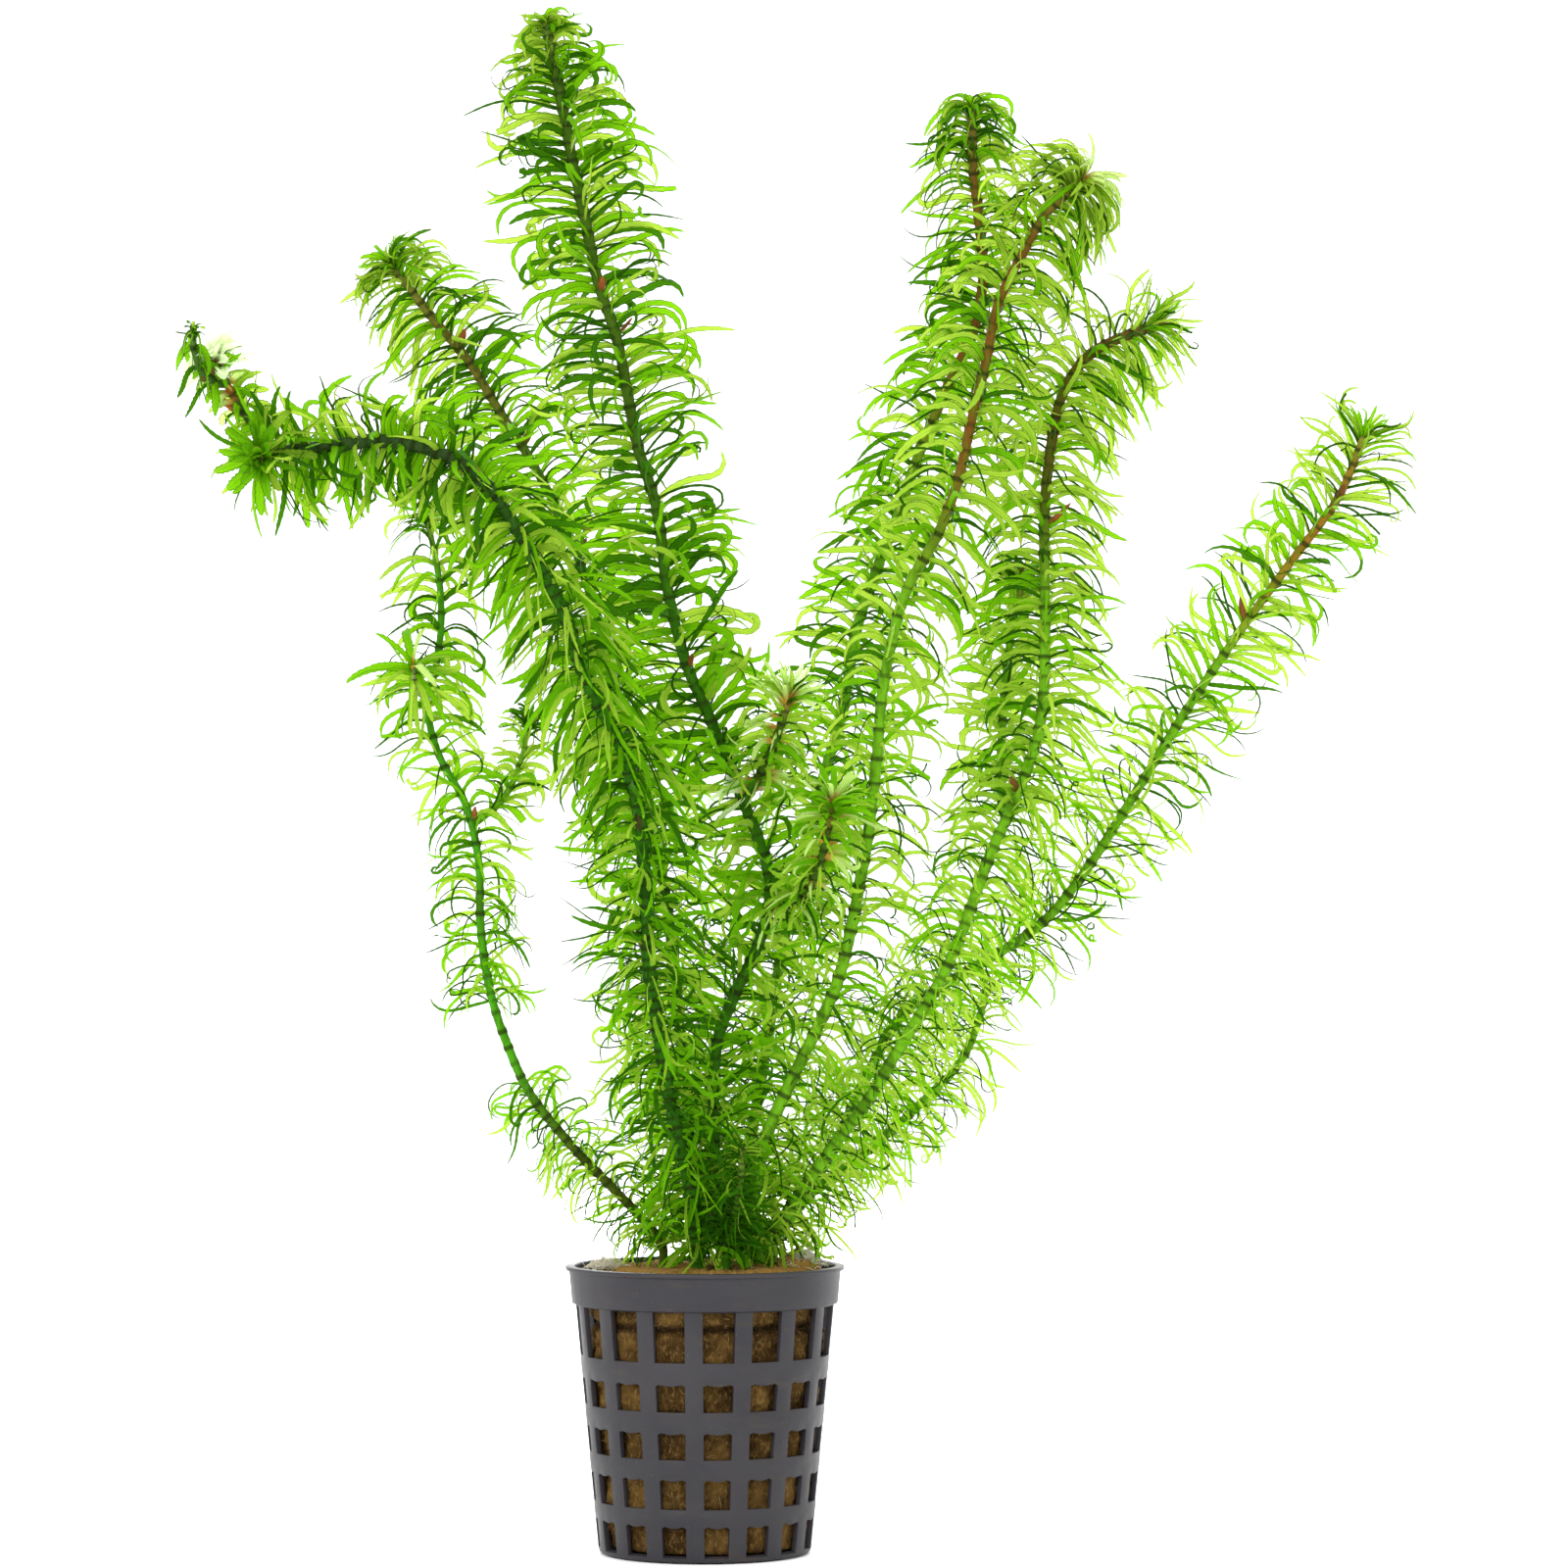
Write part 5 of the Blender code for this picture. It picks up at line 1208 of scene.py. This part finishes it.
def make_pot(finish):
    """The moulded basket, with wavy windows, rounded edges, a slotted base and a thin lip."""
    rows = pot_rows()
    cells = COLUMNS * (RIB_CELLS + WINDOW_CELLS)
    wave = window_wave()
    outer = np.zeros((len(rows), cells, 3))
    inner = np.zeros((len(rows), cells, 3))
    for index, row in enumerate(rows):
        outer_radius, outer_height, inner_radius, inner_height, _, share = row
        pitch = min(max(outer_radius, BASKET_BOTTOM_RADIUS), BASKET_TOP_RADIUS)
        angles = column_angles(pitch)
        ring = np.stack([np.cos(angles), np.sin(angles), np.zeros(cells)], axis=-1)
        outer[index] = ring * outer_radius
        inner[index] = ring * inner_radius
        outer[index, :, 2] = outer_height + share * wave
        inner[index, :, 2] = inner_height + share * wave
    points = np.concatenate([outer.reshape(-1, 3), inner.reshape(-1, 3)])
    inside = len(rows) * cells
    faces = []
    gaps = [open_cells(row[4], cells) for row in rows[:-1]]
    closed = np.zeros(cells, dtype=bool)
    for index in range(len(rows) - 1):
        low = index * cells
        high = low + cells
        below = gaps[index - 1] if index else closed
        for cell in range(cells):
            after = (cell + 1) % cells
            a, b, c, d = low + cell, low + after, high + after, high + cell
            if gaps[index][cell]:
                continue
            faces.append((a, b, c, d))
            faces.append((inside + a, inside + d, inside + c, inside + b))
            if gaps[index][cell - 1]:
                faces.append((a, d, inside + d, inside + a))
            if gaps[index][after]:
                faces.append((b, inside + b, inside + c, c))
            if below[cell]:
                faces.append((a, inside + a, inside + b, b))
            if index + 1 < len(gaps) and gaps[index + 1][cell]:
                faces.append((d, c, inside + c, inside + d))
    top = (len(rows) - 1) * cells
    for cell in range(cells):
        after = (cell + 1) % cells
        faces.append((top + cell, top + after, inside + top + after, inside + top + cell))
        # every second cell closes a piece of the disc in the middle of the base
        if cell % 2 == 0 and 0 < cell < cells - 2:
            faces.append((0, cell, cell + 1, cell + 2))
            faces.append((inside, inside + cell + 2, inside + cell + 1, inside + cell))
    piece = mesh_piece("net_pot_basket", points * MM, faces, [finish])
    rounding = piece.modifiers.new("rounded edges", "BEVEL")
    rounding.width = EDGE_ROUNDING * MM
    rounding.segments = 2
    rounding.limit_method = "ANGLE"
    rounding.angle_limit = ROUNDED_ANGLE
    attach(piece, BODY)
    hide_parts("net_pot")


def pot_finish():
    """Dark grey moulded plastic: a faint warm haze, fine dust in spots and a soft sheen."""
    finish = Finish("dark_grey_plastic")
    haze = finish.smooth(finish.grain(55.0, detail=6.0), 0.38, 0.68)
    colour = finish.mix(haze, POT_GREY, POT_HAZE)
    warm = finish.smooth(finish.grain(140.0, stretch=(1.0, 1.0, 3.0)), 0.52, 0.74)
    colour = finish.mix(warm * 0.5, colour, POT_WARM)
    dust = finish.smooth(finish.grain(2600.0, detail=2.0), 0.70, 0.80)
    colour = finish.mix(dust * 0.5, colour, POT_DUST)
    rough = 0.42 + haze * 0.14
    finish.set(Base_Color=colour, Roughness=rough, Specular_IOR_Level=0.24)
    finish.bump(finish.grain(1400.0, detail=3.0) + finish.grain(160.0) * 0.8, 0.12, 0.0003)
    return finish.material


# The wool plug, in millimetres

WOOL_BOTTOM = 1.3
WOOL_TOP = 55.0
WOOL_EDGE_HEIGHT = 53.4
WOOL_GAP = 0.5  # between the pot's wall and the wool, lumps aside
WOOL_FLOOR_GAP = 0.6  # how much narrower the plug is at its bottom
WOOL_TOP_STEP = 1.5  # how much narrower it is under the lip
WOOL_SIDE_STEP = 1.6  # how much narrower it is at the left
WOOL_SIDE_STEP_HEIGHTS = (36.0, 44.0)  # between which the plug narrows there
WOOL_FLOOR_ENDS = 0.10  # shares of the way from the bottom's middle to the top's middle
WOOL_SIDE_ENDS = 0.72
TUFTS_START = 0.66  # on the same way, from where the tufts raise the wool
WOOL_CREASE_HEIGHT = 44.3
WOOL_CREASE_WIDTH = 0.7
WOOL_CREASE_DEPTH = 1.8
WOOL_SPLIT_WIDTH = 0.035  # of the upright splits, in units of their noise
WOOL_SPLIT_DEPTH = 0.9
WOOL_RISE = 0.4  # the most that the wool stands out
WOOL_SIDES = 220
WOOL_ROWS = 125
WOOL_TUFTS = [((-18.8, 0.0), 3.6, 1.6), ((18.6, 2.0), 4.4, 3.6)]  # middle, size and height
TUFT_FIBRES = 340  # for each tuft
FIBRES = 1200
FIBRE_STEPS = 7
FIBRE_SIDES = 3
FIBRE_RADIUS = 0.04
PALE_FIBRE_RADIUS = 0.075
FIBRE_STAND = 0.8  # the most that a loose fibre stands off

WOOL_UMBER = (0.034, 0.017, 0.004)
WOOL_BROWN = (0.112, 0.062, 0.016)
WOOL_GOLD = (0.240, 0.142, 0.036)
WOOL_DARK = (0.028, 0.014, 0.004)
# painted shade in the crease under the top layer of the plug
WOOL_CREASE_PAINTED_SHADE = (0.016, 0.008, 0.003)
WOOL_THREAD = (0.32, 0.21, 0.085)
# golden top of the plug, partly its own colour and partly painted light
WOOL_GOLDEN_LIT_TOP = (0.420, 0.240, 0.055)
PAINTED_CREASE_SHADE_STARTS = (0.0432, 0.0442)  # heights in metres
PAINTED_CREASE_SHADE_ENDS = (0.0446, 0.0458)
GOLDEN_LIT_TOP_STARTS = (0.0532, 0.0548)
FIBRE_BROWN = (0.14, 0.080, 0.024)
FIBRE_GOLD = (0.34, 0.24, 0.10)
PALE_FIBRE_STRAW = (0.64, 0.55, 0.38)
PALE_FIBRE_WHITE = (0.90, 0.88, 0.80)
PALE_FIBRE_LIGHT = (0.94, 0.92, 0.84)  # colour of the light that comes through


def lumps(place, scale, octaves=4):
    """Fractal noise around zero at a point given in millimetres."""
    return noise.fractal(Vector(place) * scale, 0.8, 2.1, octaves)


def wool_surface(angle, share):
    """A point of the plug: share runs from the bottom's middle up the side to the top's middle."""
    if share < WOOL_FLOOR_ENDS:
        height = WOOL_BOTTOM
        radius = basket_radius(WOOL_BOTTOM) - WALL - WOOL_GAP - WOOL_FLOOR_GAP
        radius = radius * share / WOOL_FLOOR_ENDS
    elif share < WOOL_SIDE_ENDS:
        climbed = share - WOOL_FLOOR_ENDS
        side = WOOL_SIDE_ENDS - WOOL_FLOOR_ENDS
        height = WOOL_BOTTOM + (WOOL_EDGE_HEIGHT - WOOL_BOTTOM) * climbed / side
        radius = basket_radius(min(height, BASKET_TOP)) - WALL - WOOL_GAP
    else:
        inward = (share - WOOL_SIDE_ENDS) / (1.0 - WOOL_SIDE_ENDS)
        height = WOOL_EDGE_HEIGHT + (WOOL_TOP - WOOL_EDGE_HEIGHT) * rise(inward, 0.0, 0.25)
        radius = (basket_radius(BASKET_TOP) - WALL - WOOL_GAP) * (1.0 - inward)
    across = np.array((math.cos(angle), math.sin(angle), 0.0))
    under_lip = WOOL_TOP_STEP * rise(height, BAND_BOTTOM, WOOL_EDGE_HEIGHT)
    radius -= under_lip * radius / BASKET_TOP_RADIUS
    at_left = WOOL_SIDE_STEP * max(0.0, -across[0]) ** 8 * rise(height, *WOOL_SIDE_STEP_HEIGHTS)
    radius -= at_left * radius / BASKET_TOP_RADIUS
    place = across * radius + UP * height
    if share >= WOOL_FLOOR_ENDS:
        # coarse, middling and fine lumps
        rough = 0.9 * lumps(place, 0.16) + 0.5 * lumps(place, 0.55) + 0.22 * lumps(place, 1.7)
        below = height - WOOL_CREASE_HEIGHT - 0.5 * lumps(place, 0.1)
        crease = math.exp(-(below / WOOL_CREASE_WIDTH) ** 2)
        split = abs(lumps(across * 14.0, 0.30, 2))
        split = math.exp(-(split / WOOL_SPLIT_WIDTH) ** 2)
        rough -= WOOL_CREASE_DEPTH * crease + WOOL_SPLIT_DEPTH * split
        outward = across if share < WOOL_SIDE_ENDS else across * 0.3 + UP
        place = place + outward * min(rough, WOOL_RISE)
    if share >= TUFTS_START:
        for middle, size, lift in WOOL_TUFTS:
            away = np.linalg.norm(place[:2] - np.array(middle)) / size
            place = place + UP * lift * math.exp(-away ** 2) * (0.85 + 0.5 * lumps(place, 0.6))
    return place


def make_wool(body_finish, fibre_finish, rng):
    """The plug's rough body, and loose fibres that lie on it or stand off it."""
    # the first and the last row stop just short of the middle
    points = np.array([
        wool_surface(side * math.tau / WOOL_SIDES, row / (WOOL_ROWS - 1) * 0.996 + 0.002)
        for row in range(WOOL_ROWS) for side in range(WOOL_SIDES)
    ])
    faces = tube_faces(WOOL_ROWS, WOOL_SIDES)
    body = mesh_piece("wool_plug_body", points * MM, faces, [body_finish])
    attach(body, BODY)
    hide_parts("wool_plug")

    strands = []
    for _ in range(FIBRES):
        angle = rng.uniform(0.0, math.tau)
        share = rng.uniform(0.12, 0.95)
        climb = rng.normal(0.0, 0.010)
        drift = rng.normal(0.0, 0.045)
        stand = rng.gamma(1.5, 0.22)
        strand = []
        for step in range(FIBRE_STEPS):
            t = step / (FIBRE_STEPS - 1)
            here = wool_surface(angle + drift * t, min(0.985, share + climb * t))
            outward = here * (1, 1, 0) / max(np.linalg.norm(here[:2]), 1.0)
            if share > WOOL_SIDE_ENDS:
                outward = UP
            lift = min(stand, FIBRE_STAND) * math.sin(math.pi * t) * 0.8
            strand.append(here + outward * (0.05 + lift))
            drift += rng.normal(0.0, 0.012)
            climb += rng.normal(0.0, 0.003)
        strands.append(strand)
    fibres = strand_piece("wool_fibres", np.array(strands), FIBRE_RADIUS, fibre_finish)
    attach(fibres, BODY)


def make_tufts(finish, rng):
    """Pale fibres that stand up from the wool at the left and the right of the rim."""
    strands = []
    for middle, size, lift in WOOL_TUFTS:
        for _ in range(TUFT_FIBRES):
            foot = np.array(middle) + rng.normal(0.0, 0.42 * size, 2)
            reach = np.linalg.norm(foot - np.array(middle)) / size
            height = WOOL_TOP - 0.6 + 0.8 * lift * math.exp(-reach ** 2)
            heading = rng.uniform(0.0, math.tau)
            length = rng.uniform(1.6, 4.6)
            arch = rng.gamma(1.6, 0.28)
            bend = rng.normal(0.0, 1.1)
            strand = []
            for step in range(FIBRE_STEPS):
                t = step / (FIBRE_STEPS - 1)
                turn = heading + bend * t
                flat = np.array((math.cos(turn), math.sin(turn))) * length * (t - 0.5)
                here = height + arch * math.sin(math.pi * t) - 0.5 * abs(t - 0.5)
                strand.append((*(foot + flat), here))
            strands.append(strand)
    piece = strand_piece("pale_fibres", np.array(strands), PALE_FIBRE_RADIUS, finish)
    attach(piece, BODY)


def pale_fibre_finish():
    """Clean fibres, nearly white, that let some light through."""
    finish = Finish("pale_wool_fibre")
    tint = finish.smooth(finish.grain(500.0, detail=3.0), 0.35, 0.65)
    colour = finish.mix(tint, PALE_FIBRE_STRAW, PALE_FIBRE_WHITE)
    finish.set(Base_Color=colour, Roughness=0.6, Specular_IOR_Level=0.2)
    finish.glow(0.6, PALE_FIBRE_LIGHT)
    return finish.material


def strand_piece(name, strands, radius, finish):
    """Thin three-sided tubes along many short lists of points, as one piece."""
    count, steps, _ = strands.shape
    heads = unit(np.gradient(strands, axis=1))
    side = unit(np.cross(heads, np.array((0.21, 0.35, 0.91))))
    across = np.cross(heads, side)
    angles = np.arange(FIBRE_SIDES) * math.tau / FIBRE_SIDES
    thin = radius * (0.35 + 0.65 * np.sin(np.linspace(0.12, 0.88, steps) * math.pi))
    ring = side[:, :, None] * np.cos(angles)[:, None]
    ring = ring + across[:, :, None] * np.sin(angles)[:, None]
    points = strands[:, :, None] + ring * thin[None, :, None, None]
    corners = steps * FIBRE_SIDES
    tubes = [tube_faces(steps, FIBRE_SIDES, first=index * corners) for index in range(count)]
    faces = np.concatenate(tubes)
    return mesh_piece(name, points * MM, faces, [finish])


def wool_finish():
    """Brown mineral wool: golden and dark patches, fibre streaks, painted shade in the crease, a
    golden top partly painted lighter, and a rough felted surface.
    """
    finish = Finish("brown_mineral_wool")
    broad = finish.smooth(finish.grain(90.0, detail=5.0), 0.36, 0.66)
    colour = finish.mix(broad, WOOL_UMBER, WOOL_BROWN)
    gold = finish.smooth(finish.grain(520.0, detail=7.0, roughness=0.65), 0.50, 0.72)
    colour = finish.mix(gold * 0.45, colour, WOOL_GOLD)
    dark = finish.smooth(finish.grain(190.0, detail=6.0, stretch=(1.0, 1.0, 0.5)), 0.56, 0.70)
    colour = finish.mix(dark * 0.8, colour, WOOL_DARK)
    # painted shade in the crease under the top layer of the plug
    height = finish.height() + finish.grain(420.0, detail=4.0) * 0.0016 - 0.0008
    crease = finish.smooth(height, *PAINTED_CREASE_SHADE_STARTS)
    crease = crease * (1 - finish.smooth(height, *PAINTED_CREASE_SHADE_ENDS))
    colour = finish.mix(crease * 0.85, colour, WOOL_CREASE_PAINTED_SHADE)
    threads = finish.grain(2200.0, detail=5.0, roughness=0.7, stretch=(1.0, 1.0, 0.35))
    colour = finish.mix(finish.smooth(threads, 0.5, 0.75) * 0.5, colour, WOOL_THREAD)
    # the top of the plug is drawn golden, its own colour there, and lighter as painted light
    top = finish.smooth(finish.height(), *GOLDEN_LIT_TOP_STARTS)
    colour = finish.mix(top * 0.55, colour, WOOL_GOLDEN_LIT_TOP)
    finish.set(Base_Color=colour, Roughness=0.92, Specular_IOR_Level=0.05)
    finish.bump(threads + finish.grain(600.0, detail=6.0) * 1.5, 0.8, 0.0006)
    return finish.material


def fibre_finish():
    """Loose wool fibres, from brown to golden."""
    finish = Finish("loose_wool_fibre")
    tint = finish.smooth(finish.grain(300.0, detail=3.0), 0.35, 0.70)
    colour = finish.mix(tint, FIBRE_BROWN, FIBRE_GOLD)
    finish.set(Base_Color=colour, Roughness=0.65, Specular_IOR_Level=0.15)
    return finish.material


# The studio

CAMERA_PLACE = (0.0153, -1.083, 0.1294)
CAMERA_AIM = (0.0153, 0.0, 0.1484)
SENSOR_WIDTH = 36.0
CAMERA_LENS = 128.25
SURROUND_STRENGTH = 1.45
FLOOR_SIZE = 8.0
FLOOR_WHITE = (0.97, 0.97, 0.97)
FLOOR_HEIGHT = -0.0002
LIGHTS_AIM = (0.015, 0.0, 0.16)
SOFTBOXES = [  # name, place, size and power, with the strongest one behind the plant
    ("back_light", (0.0, 1.2, 0.40), 1.4, 22.0),
    ("top_light", (0.1, 0.1, 1.3), 0.9, 6.0),
    ("front_light", (-0.6, -1.3, 0.8), 0.9, 11.0),
]


def make_camera():
    """A long lens in front of the plant."""
    camera = bpy.data.cameras.new("camera")
    camera.sensor_width = SENSOR_WIDTH
    camera.lens = CAMERA_LENS
    item = bpy.data.objects.new("camera", camera)
    bpy.context.collection.objects.link(item)
    item.location = CAMERA_PLACE
    aim = Vector(CAMERA_AIM) - Vector(CAMERA_PLACE)
    item.rotation_euler = aim.to_track_quat("-Z", "Y").to_euler()
    bpy.context.scene.camera = item


def add_softbox(name, place, aim, size, power):
    """A large square light that the camera doesn't see."""
    light = bpy.data.lights.new(name, "AREA")
    light.size = size
    light.energy = power
    item = bpy.data.objects.new(name, light)
    bpy.context.collection.objects.link(item)
    item.location = place
    item.rotation_euler = (Vector(aim) - Vector(place)).to_track_quat("-Z", "Y").to_euler()
    item.visible_camera = False


def make_studio():
    """A white surround, a pale floor and soft light, most of it from behind as in the photo."""
    world = bpy.data.worlds.new("white_surround")
    world.use_nodes = True
    background = world.node_tree.nodes["Background"]
    background.inputs["Color"].default_value = (1.0, 1.0, 1.0, 1.0)
    background.inputs["Strength"].default_value = SURROUND_STRENGTH
    bpy.context.scene.world = world
    bpy.context.scene.view_settings.view_transform = "Standard"

    bpy.ops.mesh.primitive_plane_add(size=FLOOR_SIZE, location=(0.0, 0.0, FLOOR_HEIGHT))
    floor = bpy.context.object
    floor.name = "floor"
    finish = Finish("pale_floor")
    finish.set(Base_Color=FLOOR_WHITE, Roughness=0.6, Specular_IOR_Level=0.2)
    floor.data.materials.append(finish.material)

    for name, place, size, power in SOFTBOXES:
        add_softbox(name, place, LIGHTS_AIM, size, power)


def main():
    rng = np.random.default_rng(SEED)
    make_camera()
    make_studio()
    make_pot(pot_finish())
    make_wool(wool_finish(), fibre_finish(), rng)
    make_tufts(pale_fibre_finish(), rng)
    blade_finishes = [blade_finish(name) for name in TONES]
    paths = {}
    for shoot in SHOOTS:
        make_shoot(shoot, blade_finishes, paths, rng)
    make_buds(paths, bud_finish(), rng)


main()
